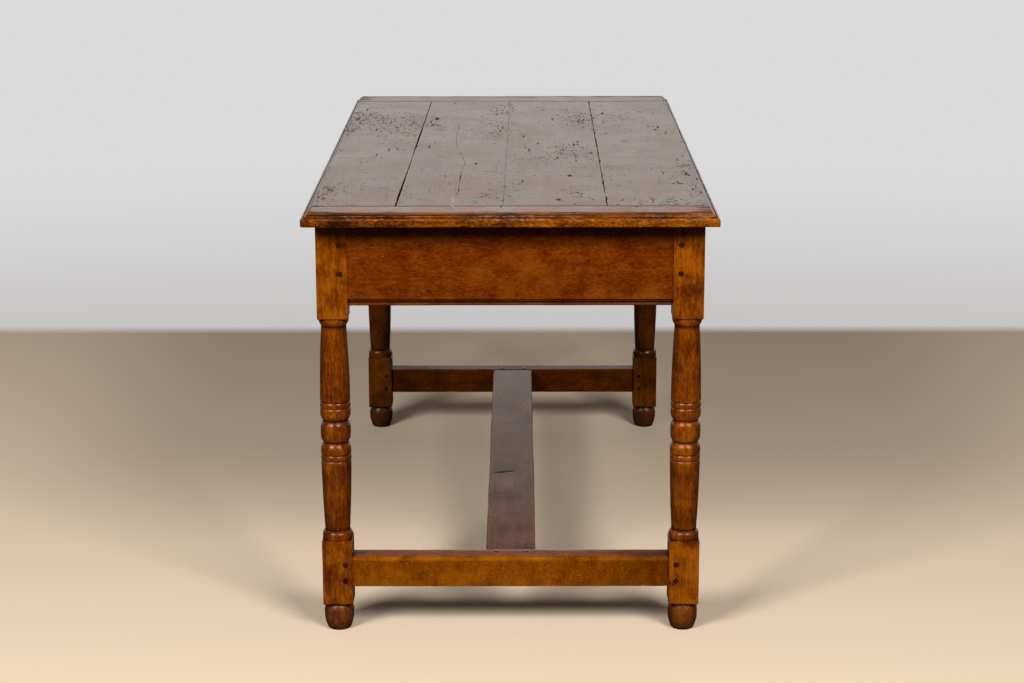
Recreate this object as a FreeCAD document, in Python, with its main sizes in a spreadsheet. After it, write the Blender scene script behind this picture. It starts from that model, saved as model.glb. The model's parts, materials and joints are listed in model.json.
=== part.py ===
"""Farmhouse table: four turned legs, pegged aprons, an H stretcher and a plank top between breadboard ends.

Lengths are in millimetres. X runs across the table, Y along it, Z up, and the origin is on the floor
under the middle of the top. The short end at -Y is the front. Every piece of wood, peg, button and screw is
a solid of its own, drawn in its own frame and put in its place by a Placement. All sizes come from the sheet
named Sizes.
"""
import FreeCAD, Part

import math
import os

import Sketcher

# Driving dimensions, each one a cell of the sheet
SIZES = {
    # the whole table
    "table_height": 760.0,
    "top_width": 706.0,
    "top_length": 1440.0,
    "top_thickness": 22.0,
    "top_side_overhang": 21.5,
    "top_end_overhang": 47.0,
    # legs
    "leg_section": 53.0,
    "leg_arris_round": 1.6,
    "leg_upper_block": 170.0,
    "leg_lower_block": 118.0,
    "leg_foot_height": 50.0,
    # aprons
    "apron_depth": 145.0,
    "apron_thickness": 24.0,
    "apron_setback": 1.5,
    "apron_bead_height": 5.6,
    "apron_bead_bulge": 2.6,
    "apron_quirk_depth": 1.6,
    "apron_quirk_width": 1.3,
    "apron_fillet_height": 2.4,
    "apron_tenon_thickness": 10.0,
    "apron_tenon_top_gap": 16.0,
    "apron_tenon_bottom_gap": 14.0,
    "apron_tenon_meeting_gap": 2.5,
    # end stretchers
    "stretcher_depth": 52.0,
    "stretcher_thickness": 44.0,
    "stretcher_setback": 1.0,
    "stretcher_floor_gap": 85.0,
    "stretcher_show_round": 3.6,
    "stretcher_arris_round": 1.6,
    "stretcher_tenon_thickness": 14.0,
    "stretcher_tenon_length": 38.0,
    "stretcher_tenon_shoulder": 2.5,
    # medial stretcher
    "medial_width": 88.0,
    "medial_thickness": 28.0,
    "medial_arris_round": 2.0,
    "medial_tenon_thickness": 14.0,
    "medial_tenon_length": 30.0,
    "medial_tenon_shoulder": 8.0,
    # pegs
    "peg_diameter": 9.5,
    "peg_taper": 0.5,
    "peg_proud": 0.4,
    "peg_hole_clearance": 0.05,
    "peg_hole_spare": 0.6,
    "peg_crossing_gap": 1.25,
    "apron_peg_inset": 13.0,
    "apron_peg_top_gap": 40.0,
    "apron_peg_pitch": 50.0,
    "stretcher_peg_inset": 12.5,
    "stretcher_peg_bottom_gap": 9.0,
    "stretcher_peg_pitch": 30.0,
    "medial_peg_inset": 11.5,
    "medial_peg_pitch": 52.0,
    "medial_peg_length": 40.0,
    # joints of the frame
    "mortise_side_clearance": 0.15,
    "mortise_end_clearance": 1.0,
    # top boards and breadboard ends
    "breadboard_front_width": 79.0,
    "breadboard_back_width": 96.0,
    "seam_gap_left": 3.0,
    "seam_gap_middle": 0.8,
    "seam_gap_right": 2.0,
    "tongue_thickness": 7.0,
    "tongue_length": 20.0,
    "tongue_edge_gap": 2.0,
    "groove_end_margin": 34.0,
    # moulded edge of the top
    "edge_moulding_width": 12.8,
    "edge_step": 1.2,
    "edge_ovolo_bulge": 1.8,
    "edge_quirk_width": 1.2,
    "edge_quirk_depth": 0.9,
    "edge_nose_height": 13.4,
    "edge_nose_depth": 3.4,
    "edge_nose_round": 2.6,
    "edge_bottom_round": 2.2,
    # buttons that hold the top
    "side_button_length": 44.0,
    "end_button_length": 76.0,
    "button_screw_margin": 20.0,
    "button_width": 32.0,
    "button_thickness": 18.0,
    "button_tongue_length": 9.0,
    "button_tongue_thickness": 8.0,
    "button_slot_clearance": 0.2,
    "button_slot_spare": 1.5,
    # screws of the buttons
    "screw_length": 31.0,
    "screw_diameter": 4.0,
    "screw_head_diameter": 8.0,
    "screw_head_height": 2.4,
    "screw_tip_length": 5.0,
    "screw_tip_diameter": 1.0,
    "screw_slot_width": 1.1,
    "screw_slot_depth": 1.0,
    "screw_clearance": 0.05,
    "screw_hole_spare": 0.8,
    # one overrun for all cuts
    "cut_overrun": 6.0,
}

# The three seams of the top as shares of its width from the left edge, at the front and at the back end
SEAM_SHARES = ((0.2224, 0.2450), (0.4830, 0.4929), (0.7351, 0.7429))

# Places of the buttons: along a side as shares of the frame's length, across an end as shares of its width
SIDE_BUTTON_SHARES = (-0.335, 0.0, 0.335)
END_BUTTON_SHARES = (-0.15, 0.15)

# Turned shaft from block to block: height as a share of its length, radius as a share of half the leg's
# section, and how far the line to the next row bulges, as a share of the same half section
SHAFT_SHARES = (
    # cap of the lower block
    (0.0, 0.996, 0.0),
    (0.0175, 0.994, 0.044),
    (0.0400, 0.824, 0.0),
    # long taper and its two grooves
    (0.0430, 0.830, 0.0245),
    (0.3569, 0.994, 0.0),
    (0.3612, 0.947, 0.0),
    (0.3656, 0.994, 0.0),
    (0.3831, 0.996, 0.0),
    (0.3875, 0.949, 0.0),
    (0.3919, 0.996, 0.0),
    (0.4075, 0.996, 0.044),
    (0.4388, 0.823, 0.0),
    # drum between its two necks
    (0.4425, 0.823, 0.034),
    (0.4625, 0.977, 0.018),
    (0.5113, 0.977, 0.034),
    (0.5363, 0.823, 0.0),
    (0.5412, 0.823, 0.045),
    (0.5700, 0.996, 0.0),
    # upper two grooves and the long taper up
    (0.5944, 0.996, 0.0),
    (0.5988, 0.949, 0.0),
    (0.6031, 0.996, 0.0),
    (0.6206, 0.996, 0.0),
    (0.6250, 0.949, 0.0),
    (0.6294, 0.994, 0.0325),
    (0.9600, 0.823, 0.0),
    # cap of the upper block
    (0.9640, 0.823, 0.045),
    (0.9950, 0.994, 0.0),
    (1.0, 0.996, 0.0),
)

# Turned foot from the floor up: height as a share of the foot's height, then as above
FOOT_SHARES = (
    (0.0, 0.700, 0.0),
    (0.0300, 0.765, 0.021),
    (0.3800, 0.966, 0.006),
    (0.6400, 0.992, 0.052),
    (0.9650, 0.792, 0.0),
    (1.0, 0.792, 0.0),
)

# How far a quarter circle of radius one rises over its chord
QUARTER_BULGE = 1 - math.sqrt(0.5)

# Labels of the ends and sides, with the turn that brings a piece drawn for the front there
ENDS = {"front": 0.0, "back": 180.0}
SIDES = {"left": 270.0, "right": 90.0}
CORNERS = {
    "front_left": (-1, -1),
    "front_right": (1, -1),
    "back_left": (-1, 1),
    "back_right": (1, 1),
}


class Size:
    """A length that knows its value now and the formula of sheet cells that gives it."""

    def __init__(self, value, formula):
        self.value = value
        self.formula = formula

    @staticmethod
    def of(number):
        """The number itself as a Size, unless it is one."""
        if isinstance(number, Size):
            return number
        return Size(float(number), f"({float(number)!r})")

    def joined(self, sign, other, value):
        """A Size of both formulas with the sign between them."""
        return Size(value, f"({self.formula} {sign} {other.formula})")

    def __add__(self, other):
        other = Size.of(other)
        return self.joined("+", other, self.value + other.value)

    def __sub__(self, other):
        other = Size.of(other)
        return self.joined("-", other, self.value - other.value)

    def __mul__(self, other):
        other = Size.of(other)
        return self.joined("*", other, self.value * other.value)

    def __truediv__(self, other):
        other = Size.of(other)
        return self.joined("/", other, self.value / other.value)

    def __rmul__(self, other):
        return Size.of(other) * self

    def __neg__(self):
        return Size.of(-1) * self


def make_sheet(doc):
    """Spreadsheet with one aliased cell for each driving dimension, and the same dimensions as Sizes."""
    sheet = doc.addObject("Spreadsheet::Sheet", "Sizes")
    cells = {}
    for row, (name, value) in enumerate(SIZES.items(), start=1):
        sheet.set(f"A{row}", name)
        sheet.set(f"B{row}", str(value))
        sheet.setAlias(f"B{row}", name)
        cells[name] = Size(value, f"Sizes.{name}")
    doc.recompute()
    return cells


DOC = FreeCAD.newDocument("FarmhouseTable")
CELLS = make_sheet(DOC)
ZERO = Size.of(0)
NODES = []


def size(name):
    """The Size of one cell of the sheet."""
    return CELLS[name]


def bind(thing, prop, length):
    """Ties a property of an object to the formula of a Size."""
    thing.setExpression(prop, length.formula)


def place(thing, corner, turn=0.0):
    """Turns a finished sub-part about Z and ties its place to the sheet."""
    rotation = FreeCAD.Rotation(FreeCAD.Vector(0, 0, 1), turn)
    thing.Placement = FreeCAD.Placement(FreeCAD.Vector(), rotation)
    for axis, length in zip("xyz", corner):
        bind(thing, f"Placement.Base.{axis}", length)


def along(axis):
    """The turn that lays a thing drawn along +Z along the given axis, such as +x or -y."""
    targets = {
        "+x": FreeCAD.Vector(1, 0, 0),
        "-x": FreeCAD.Vector(-1, 0, 0),
        "+y": FreeCAD.Vector(0, 1, 0),
        "-y": FreeCAD.Vector(0, -1, 0),
        "+z": FreeCAD.Vector(0, 0, 1),
        "-z": FreeCAD.Vector(0, 0, -1),
    }
    return FreeCAD.Rotation(FreeCAD.Vector(0, 0, 1), targets[axis])


def ordered(first, second):
    """The two Sizes with the lower one first."""
    return (first, second) if first.value <= second.value else (second, first)


class Line:
    """One line or arc of a sketch, with the numbers of its start and end."""

    def __init__(self, corner, after):
        start = FreeCAD.Vector(corner[0].value, corner[1].value, 0)
        end = FreeCAD.Vector(after[0].value, after[1].value, 0)
        self.start, self.end = 1, 2
        self.radius = None
        self.curve = Part.LineSegment(start, end)
        if len(corner) == 3:
            self.bend(corner, after, start, end)

    def bend(self, corner, after, start, end):
        """Makes the line an arc, which runs anticlockwise: one that swells to the left is drawn backwards."""
        across = after[0] - corner[0]
        up = after[1] - corner[1]
        swells_right = corner[2].value > 0
        rise = corner[2] if swells_right else -corner[2]
        self.radius = (across * across + up * up) / (8 * rise) + rise / 2
        if not swells_right:
            start, end = end, start
            self.start, self.end = 2, 1
        chord = end - start
        inward = FreeCAD.Vector(-chord.y, chord.x, 0).normalize()
        centre = (start + end) / 2 + inward * (self.radius.value - rise.value)
        first = math.atan2(start.y - centre.y, start.x - centre.x)
        last = math.atan2(end.y - centre.y, end.x - centre.x)
        if last < first:
            last += 2 * math.pi
        circle = Part.Circle(centre, FreeCAD.Vector(0, 0, 1), self.radius.value)
        self.curve = Part.ArcOfCircle(circle, first, last)


def tie_corner(ties, joins, index, end, corner):
    """Adds what ties one corner of a sketch to the sheet, or to an axis where its place is zero."""
    directions = (("DistanceX", "across", -2, corner[0]), ("DistanceY", "up", -1, corner[1]))
    for kind, word, axis, length in directions:
        if length is ZERO:
            joins.append(Sketcher.Constraint("PointOnObject", *end, axis))
        else:
            ties[f"{word}_{index}"] = (kind, (-1, 1, *end), length)


class Timber:
    """One piece of wood: a body, its features added in order, in the piece's own frame."""

    def __init__(self, name):
        self.body = DOC.addObject("PartDesign::Body", name)
        self.body.Label = name
        NODES.append(self.body)

    def feature(self, kind, label):
        """A new PartDesign feature of this body."""
        made = self.body.newObject(f"PartDesign::{kind}", f"{self.body.Name}_{label}")
        made.Refine = False
        return made

    def box(self, kind, label, *spans):
        """Box that adds or cuts, from its lower to its upper bound along X, Y and Z."""
        feature = self.feature(kind + "Box", label)
        for edge, axis, span in zip(("Length", "Width", "Height"), "xyz", spans):
            low, high = ordered(*span)
            bind(feature, edge, high - low)
            bind(feature, f"Placement.Base.{axis}", low)

    def hole(self, label, start, axis, depth, radius):
        """Round hole from a start point along an axis."""
        feature = self.feature("SubtractiveCylinder", label)
        feature.Placement = FreeCAD.Placement(FreeCAD.Vector(), along(axis))
        bind(feature, "Radius", radius)
        bind(feature, "Height", depth)
        for letter, length in zip("xyz", start):
            bind(feature, f"Placement.Base.{letter}", length)

    def sketch(self, label, role, corners, closed=True):
        """Sketch of straight lines and arcs on an origin plane.

        Each corner is (across, up) or (across, up, bulge), where the bulge is how far the line to the next
        corner swells to the right of the way it runs. An arc is held by its ends and its radius.
        """
        sketch = self.body.newObject("Sketcher::SketchObject", f"{self.body.Name}_{label}")
        planes = [feature for feature in self.body.Origin.OriginFeatures if feature.Role == role]
        sketch.AttachmentSupport = [(planes[0], "")]
        sketch.MapMode = "FlatFace"
        count = len(corners) if closed else len(corners) - 1
        lines = [Line(corners[index], corners[(index + 1) % len(corners)]) for index in range(count)]
        ties = {}
        joins = []
        for index, line in enumerate(lines):
            after = (index + 1) % count
            if closed or index < count - 1:
                joins.append(Sketcher.Constraint("Coincident", index, line.end, after, lines[after].start))
            if line.radius:
                ties[f"radius_{index}"] = ("Radius", (index,), line.radius)
            tie_corner(ties, joins, index, (index, line.start), corners[index])
        if not closed:
            tie_corner(ties, joins, count, (count - 1, lines[-1].end), corners[-1])
        sketch.addGeometry([line.curve for line in lines], False)
        for name, (kind, ends, length) in ties.items():
            tie = Sketcher.Constraint(kind, *ends, length.value)
            tie.Name = name
            joins.append(tie)
        sketch.addConstraint(joins)
        for name, (_, _, length) in ties.items():
            bind(sketch, f"Constraints.{name}", length)
        return sketch

    def pad(self, label, sketch, length, middle=False):
        """Pad of a sketch, to one side or half to each side of its plane."""
        feature = self.feature("Pad", label)
        feature.Profile = sketch
        feature.SideType = "Symmetric" if middle else "One side"
        bind(feature, "Length", length)

    def turn(self, label, sketch):
        """Solid of revolution about the sketch's upright axis."""
        feature = self.feature("Revolution", label)
        feature.Profile = sketch
        feature.ReferenceAxis = (sketch, ["V_Axis"])
        feature.Angle = 360

    def run_cut(self, label, sketch, length):
        """Cut of a sketch straight along the piece, half to each side of the sketch's plane."""
        feature = self.feature("Pocket", label)
        feature.Profile = sketch
        feature.SideType = "Symmetric"
        bind(feature, "Length", length)

    def mitred_cut(self, label, sketch, path, edges):
        """Cut of a sketch along a path with mitred corners."""
        feature = self.feature("SubtractivePipe", label)
        feature.Profile = sketch
        feature.Spine = (path, [f"Edge{number}" for number in range(1, edges + 1)])
        feature.Transition = "Right corner"


def solid(kind, label, **sizes):
    """Part primitive with its sizes tied to the sheet."""
    thing = DOC.addObject(f"Part::{kind}", label)
    for prop, length in sizes.items():
        bind(thing, prop, length)
    return thing


def set_at(thing, start, axis="+z"):
    """Ties a primitive's place to the sheet and lays its own Z along an axis."""
    thing.Placement = FreeCAD.Placement(FreeCAD.Vector(), along(axis))
    for letter, length in zip("xyz", start):
        bind(thing, f"Placement.Base.{letter}", length)
    return thing


def group(name, things):
    """One node that holds several separate solids."""
    compound = DOC.addObject("Part::Compound", name)
    compound.Label = name
    compound.Links = things
    NODES.append(compound)
    return compound


# The frame under the top, over the outer faces of its legs
FRAME_WIDTH = size("top_width") - 2 * size("top_side_overhang")
FRAME_LENGTH = size("top_length") - 2 * size("top_end_overhang")

# Heights that several pieces share
TOP_UNDERSIDE = size("table_height") - size("top_thickness")
APRON_BOTTOM = TOP_UNDERSIDE - size("apron_depth")
UPPER_BLOCK_BOTTOM = TOP_UNDERSIDE - size("leg_upper_block")
LOWER_BLOCK_TOP = size("leg_foot_height") + size("leg_lower_block")
STRETCHER_TOP = size("stretcher_floor_gap") + size("stretcher_depth")
MEDIAL_BOTTOM = STRETCHER_TOP - size("medial_thickness")

# Places of the joints inside a leg, measured from the leg's middle towards the outside of the table
LEG_HALF = size("leg_section") / 2
APRON_MIDDLE = LEG_HALF - size("apron_setback") - size("apron_thickness") / 2
APRON_TENON_REACH = APRON_MIDDLE - size("apron_tenon_thickness") / 2 - size("apron_tenon_meeting_gap")
APRON_TENON_LENGTH = LEG_HALF + APRON_TENON_REACH
STRETCHER_MIDDLE = LEG_HALF - size("stretcher_setback") - size("stretcher_thickness") / 2
APRON_PEG_PLACE = size("apron_peg_inset") - LEG_HALF
STRETCHER_PEG_PLACE = size("stretcher_peg_inset") - LEG_HALF
PEG_RADIUS = size("peg_diameter") / 2
PEG_HOLE_RADIUS = PEG_RADIUS + size("peg_hole_clearance")
APRON_PEG_LENGTH = size("leg_section") - size("apron_peg_inset") - PEG_RADIUS - size("peg_crossing_gap")

# Upright places of tenons and pegs
APRON_TENON_SPAN = (
    APRON_BOTTOM + size("apron_tenon_bottom_gap"),
    TOP_UNDERSIDE - size("apron_tenon_top_gap"),
)
STRETCHER_TENON_SPAN = (
    size("stretcher_floor_gap") + size("stretcher_tenon_shoulder"),
    STRETCHER_TOP - size("stretcher_tenon_shoulder"),
)
APRON_PEG_HEIGHTS = (
    TOP_UNDERSIDE - size("apron_peg_top_gap"),
    TOP_UNDERSIDE - size("apron_peg_top_gap") - size("apron_peg_pitch"),
)
STRETCHER_PEG_HEIGHTS = (
    size("stretcher_floor_gap") + size("stretcher_peg_bottom_gap"),
    size("stretcher_floor_gap") + size("stretcher_peg_bottom_gap") + size("stretcher_peg_pitch"),
)

# Half the clear span between the legs across and along the table
HALF_SPAN_ACROSS = FRAME_WIDTH / 2 - size("leg_section")
HALF_SPAN_ALONG = FRAME_LENGTH / 2 - size("leg_section")


def rounded_square(half, radius):
    """Corners of a square with rounded corners, anticlockwise, for a sketch."""
    bulge = QUARTER_BULGE * radius
    near = half - radius
    return [
        (-near, -half),
        (near, -half, bulge),
        (half, -near),
        (half, near, bulge),
        (near, half),
        (-near, half, bulge),
        (-half, near),
        (-half, -near, bulge),
    ]


def turned_outline(shares, bottom, height):
    """Half outline of a turning, from its bottom up and back down its axis."""
    half = LEG_HALF
    corners = [(ZERO, bottom)]
    for height_share, radius_share, bulge_share in shares:
        corner = (radius_share * half, bottom + height_share * height)
        if bulge_share:
            corner += (bulge_share * half,)
        corners.append(corner)
    corners.append((ZERO, bottom + height))
    return corners


def outward(sign, length):
    """A length measured from a leg's middle towards the outside, as a place in the leg's frame."""
    return length if sign > 0 else -length


def outward_span(sign, span):
    """Both bounds of a span measured towards the outside, as places in the leg's frame."""
    return outward(sign, span[0]), outward(sign, span[1])


def leg_block(leg, label, bottom, top):
    """Square block of a leg, its long arrises softened."""
    sketch = leg.sketch(f"{label}_outline", "XY_Plane", rounded_square(LEG_HALF, size("leg_arris_round")))
    sketch.setExpression("AttachmentOffset.Base.z", bottom.formula)
    leg.pad(label, sketch, top - bottom)


def make_leg(name, side, end):
    """Leg of one length of wood, drawn about its own axis, with its mortises and peg holes."""
    leg = Timber(f"leg_{name}")
    leg_block(leg, "lower_block", size("leg_foot_height"), LOWER_BLOCK_TOP)
    shaft = turned_outline(SHAFT_SHARES, LOWER_BLOCK_TOP, UPPER_BLOCK_BOTTOM - LOWER_BLOCK_TOP)
    leg.turn("shaft", leg.sketch("shaft_outline", "XZ_Plane", shaft))
    leg_block(leg, "upper_block", UPPER_BLOCK_BOTTOM, TOP_UNDERSIDE)
    foot = turned_outline(FOOT_SHARES, ZERO, size("leg_foot_height"))
    leg.turn("foot", leg.sketch("foot_outline", "XZ_Plane", foot))
    cut_leg_mortises(leg, side, end)
    drill_leg(leg, side, end)
    x = side * (FRAME_WIDTH / 2 - LEG_HALF)
    y = end * (FRAME_LENGTH / 2 - LEG_HALF)
    place(leg.body, (x, y, ZERO))


def mortise_span(middle, thickness):
    """Bounds of a mortise across its tenon's thickness."""
    half = thickness / 2 + size("mortise_side_clearance")
    return middle - half, middle + half


def cut_leg_mortises(leg, side, end):
    """Mortises for the end apron, the side apron and the end stretcher."""
    inner = -LEG_HALF - size("cut_overrun")
    clearance = size("mortise_side_clearance")
    apron_end = APRON_TENON_LENGTH + size("mortise_end_clearance") - LEG_HALF
    apron_across = mortise_span(APRON_MIDDLE, size("apron_tenon_thickness"))
    apron_up = (APRON_TENON_SPAN[0] - clearance, APRON_TENON_SPAN[1] + clearance)
    stretcher_end = size("stretcher_tenon_length") + size("mortise_end_clearance") - LEG_HALF
    stretcher_across = mortise_span(STRETCHER_MIDDLE, size("stretcher_tenon_thickness"))
    stretcher_up = (STRETCHER_TENON_SPAN[0] - clearance, STRETCHER_TENON_SPAN[1] + clearance)

    mortises = {
        "end_apron_mortise": ((inner, apron_end), apron_across, apron_up),
        "side_apron_mortise": (apron_across, (inner, apron_end), apron_up),
        "stretcher_mortise": ((inner, stretcher_end), stretcher_across, stretcher_up),
    }
    for label, (across, lengthwise, up) in mortises.items():
        leg.box("Subtractive", label, outward_span(side, across), outward_span(end, lengthwise), up)


def drill_leg(leg, side, end):
    """Peg holes of a leg: from its outer faces into the apron tenons, and through for the stretcher's."""
    depth = APRON_PEG_LENGTH + size("peg_hole_spare")
    along_x = "-x" if side > 0 else "+x"
    along_y = "-y" if end > 0 else "+y"
    face_x = outward(side, LEG_HALF)
    face_y = outward(end, LEG_HALF)
    for number, height in enumerate(APRON_PEG_HEIGHTS, start=1):
        start = (outward(side, APRON_PEG_PLACE), face_y, height)
        leg.hole(f"end_apron_peg_hole_{number}", start, along_y, depth, PEG_HOLE_RADIUS)
        start = (face_x, outward(end, APRON_PEG_PLACE), height)
        leg.hole(f"side_apron_peg_hole_{number}", start, along_x, depth, PEG_HOLE_RADIUS)
    for number, height in enumerate(STRETCHER_PEG_HEIGHTS, start=1):
        start = (outward(side, STRETCHER_PEG_PLACE), face_y, height)
        leg.hole(f"stretcher_peg_hole_{number}", start, along_y, size("leg_section"), PEG_HOLE_RADIUS)


def apron_section():
    """Cross section of an apron: (distance behind its face, height), with the run moulding at its foot."""
    bead = size("apron_bead_height")
    quirk_width = size("apron_quirk_width")
    quirk_depth = size("apron_quirk_depth")
    lower_quirk_top = bead + quirk_width
    fillet_top = lower_quirk_top + size("apron_fillet_height")
    upper_quirk_top = fillet_top + quirk_width
    back = size("apron_thickness")
    face = size("apron_bead_bulge")
    return [
        (back, ZERO),
        (back, size("apron_depth")),
        (ZERO, size("apron_depth")),
        (ZERO, upper_quirk_top),
        (quirk_depth / 2, upper_quirk_top - quirk_width / 2),
        (ZERO, fillet_top),
        (ZERO, lower_quirk_top),
        (quirk_depth, bead + quirk_width / 2),
        (face, bead),
        (face, ZERO),
    ]


def make_apron(name, half_span, origin, turn, button_places):
    """Apron drawn for the front: its face looks to -Y, its frame is at the middle of its lower outer edge."""
    apron = Timber(f"apron_{name}")
    corners = apron_section()
    bead_start = len(corners) - 2
    corners[bead_start] = corners[bead_start] + (size("apron_bead_bulge"),)
    apron.pad("rail", apron.sketch("section", "YZ_Plane", corners), 2 * half_span, middle=True)
    middle = size("apron_thickness") / 2
    half = size("apron_tenon_thickness") / 2
    up = (size("apron_tenon_bottom_gap"), size("apron_depth") - size("apron_tenon_top_gap"))
    for word, sign in (("left", -1), ("right", 1)):
        reach = (sign * half_span, sign * (half_span + APRON_TENON_LENGTH))
        apron.box("Additive", f"{word}_tenon", reach, (middle - half, middle + half), up)
        for number, height in enumerate(APRON_PEG_HEIGHTS, start=1):
            start = (sign * (half_span + size("apron_peg_inset")), ZERO, height - APRON_BOTTOM)
            apron.hole(f"{word}_peg_hole_{number}", start, "+y", size("apron_thickness"), PEG_HOLE_RADIUS)
    for number, button_place in enumerate(button_places, start=1):
        cut_button_slot(apron, number, button_place)
    place(apron.body, origin, turn)


def cut_button_slot(apron, number, button_place):
    """Slot for a button's tongue in the inner face of an apron."""
    clearance = size("button_slot_clearance")
    half = size("button_width") / 2 + clearance
    back = size("apron_thickness")
    depth = size("button_tongue_length") + size("button_slot_spare")
    low = size("apron_depth") - size("button_thickness") - clearance
    high = low + size("button_tongue_thickness") + 2 * clearance
    apron.box(
        "Subtractive",
        f"button_slot_{number}",
        (button_place - half, button_place + half),
        (back - depth, back + size("cut_overrun")),
        (low, high),
    )


def make_aprons():
    """The four aprons between the legs."""
    outer_end = FRAME_LENGTH / 2 - size("apron_setback")
    outer_side = FRAME_WIDTH / 2 - size("apron_setback")
    end_places = [share * FRAME_WIDTH for share in END_BUTTON_SHARES]
    side_places = [share * FRAME_LENGTH for share in SIDE_BUTTON_SHARES]
    mirrored_end_places = [-button_place for button_place in end_places]
    mirrored_side_places = [-button_place for button_place in side_places]
    front, back = (ZERO, -outer_end, APRON_BOTTOM), (ZERO, outer_end, APRON_BOTTOM)
    left, right = (-outer_side, ZERO, APRON_BOTTOM), (outer_side, ZERO, APRON_BOTTOM)
    make_apron("front", HALF_SPAN_ACROSS, front, ENDS["front"], end_places)
    make_apron("back", HALF_SPAN_ACROSS, back, ENDS["back"], mirrored_end_places)
    make_apron("left", HALF_SPAN_ALONG, left, SIDES["left"], mirrored_side_places)
    make_apron("right", HALF_SPAN_ALONG, right, SIDES["right"], side_places)


def stretcher_section():
    """Cross section of an end stretcher: (distance behind its face, height), upper outer arris worn round."""
    back = size("stretcher_thickness")
    depth = size("stretcher_depth")
    soft = size("stretcher_arris_round")
    worn = size("stretcher_show_round")
    return [
        (soft, ZERO),
        (back - soft, ZERO, QUARTER_BULGE * soft),
        (back, soft),
        (back, depth - soft, QUARTER_BULGE * soft),
        (back - soft, depth),
        (worn, depth, QUARTER_BULGE * worn),
        (ZERO, depth - worn),
        (ZERO, soft, QUARTER_BULGE * soft),
    ]


def make_end_stretcher(name, origin, turn):
    """End stretcher drawn for the front, its frame at the middle of its lower outer edge."""
    rail = Timber(f"stretcher_{name}")
    section = rail.sketch("section", "YZ_Plane", stretcher_section())
    rail.pad("rail", section, 2 * HALF_SPAN_ACROSS, middle=True)
    middle = size("stretcher_thickness") / 2
    half = size("stretcher_tenon_thickness") / 2
    floor = size("stretcher_floor_gap")
    up = (STRETCHER_TENON_SPAN[0] - floor, STRETCHER_TENON_SPAN[1] - floor)
    for word, sign in (("left", -1), ("right", 1)):
        reach = (sign * HALF_SPAN_ACROSS, sign * (HALF_SPAN_ACROSS + size("stretcher_tenon_length")))
        rail.box("Additive", f"{word}_tenon", reach, (middle - half, middle + half), up)
        for number, height in enumerate(STRETCHER_PEG_HEIGHTS, start=1):
            start = (sign * (HALF_SPAN_ACROSS + size("stretcher_peg_inset")), ZERO, height - floor)
            rail.hole(f"{word}_peg_hole_{number}", start, "+y", size("stretcher_thickness"), PEG_HOLE_RADIUS)
    cut_medial_mortise(rail)
    place(rail.body, origin, turn)


def medial_tenon_span():
    """Lower and upper bound of the medial stretcher's tenon above the floor."""
    middle = (STRETCHER_TOP + MEDIAL_BOTTOM) / 2
    half = size("medial_tenon_thickness") / 2
    return middle - half, middle + half


def cut_medial_mortise(rail):
    """Mortise and two upright peg holes for the medial stretcher in an end stretcher."""
    clearance = size("mortise_side_clearance")
    half = size("medial_width") / 2 - size("medial_tenon_shoulder") + clearance
    back = size("stretcher_thickness")
    depth = size("medial_tenon_length") + size("mortise_end_clearance")
    floor = size("stretcher_floor_gap")
    low, high = medial_tenon_span()
    rail.box(
        "Subtractive",
        "medial_mortise",
        (-half, half),
        (back - depth, back + size("cut_overrun")),
        (low - floor - clearance, high - floor + clearance),
    )
    hole_depth = size("medial_peg_length") + size("peg_hole_spare")
    peg_line = back - size("medial_peg_inset")
    for word, sign in (("left", -1), ("right", 1)):
        start = (sign * size("medial_peg_pitch") / 2, peg_line, size("stretcher_depth"))
        rail.hole(f"medial_peg_hole_{word}", start, "-z", hole_depth, PEG_HOLE_RADIUS)


def make_medial_stretcher():
    """Medial stretcher, drawn about the table's middle, flat side up and level with the end stretchers."""
    half_length = FRAME_LENGTH / 2 - size("stretcher_setback") - size("stretcher_thickness")
    half = size("medial_width") / 2
    soft = size("medial_arris_round")
    bulge = QUARTER_BULGE * soft
    thickness = size("medial_thickness")
    rail = Timber("stretcher_medial")
    section = [
        (soft - half, ZERO),
        (half - soft, ZERO, bulge),
        (half, soft),
        (half, thickness - soft, bulge),
        (half - soft, thickness),
        (soft - half, thickness, bulge),
        (-half, thickness - soft),
        (-half, soft, bulge),
    ]
    rail.pad("rail", rail.sketch("section", "XZ_Plane", section), 2 * half_length, middle=True)
    reach = half - size("medial_tenon_shoulder")
    low, high = medial_tenon_span()
    for word, sign in (("front", -1), ("back", 1)):
        span = (sign * half_length, sign * (half_length + size("medial_tenon_length")))
        up = (low - MEDIAL_BOTTOM, high - MEDIAL_BOTTOM)
        rail.box("Additive", f"{word}_tenon", (-reach, reach), span, up)
        for number, side in enumerate((-1, 1), start=1):
            peg_y = sign * (half_length + size("medial_peg_inset"))
            start = (side * size("medial_peg_pitch") / 2, peg_y, ZERO)
            rail.hole(f"{word}_peg_hole_{number}", start, "+z", thickness, PEG_HOLE_RADIUS)
    place(rail.body, (ZERO, ZERO, MEDIAL_BOTTOM))


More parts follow.
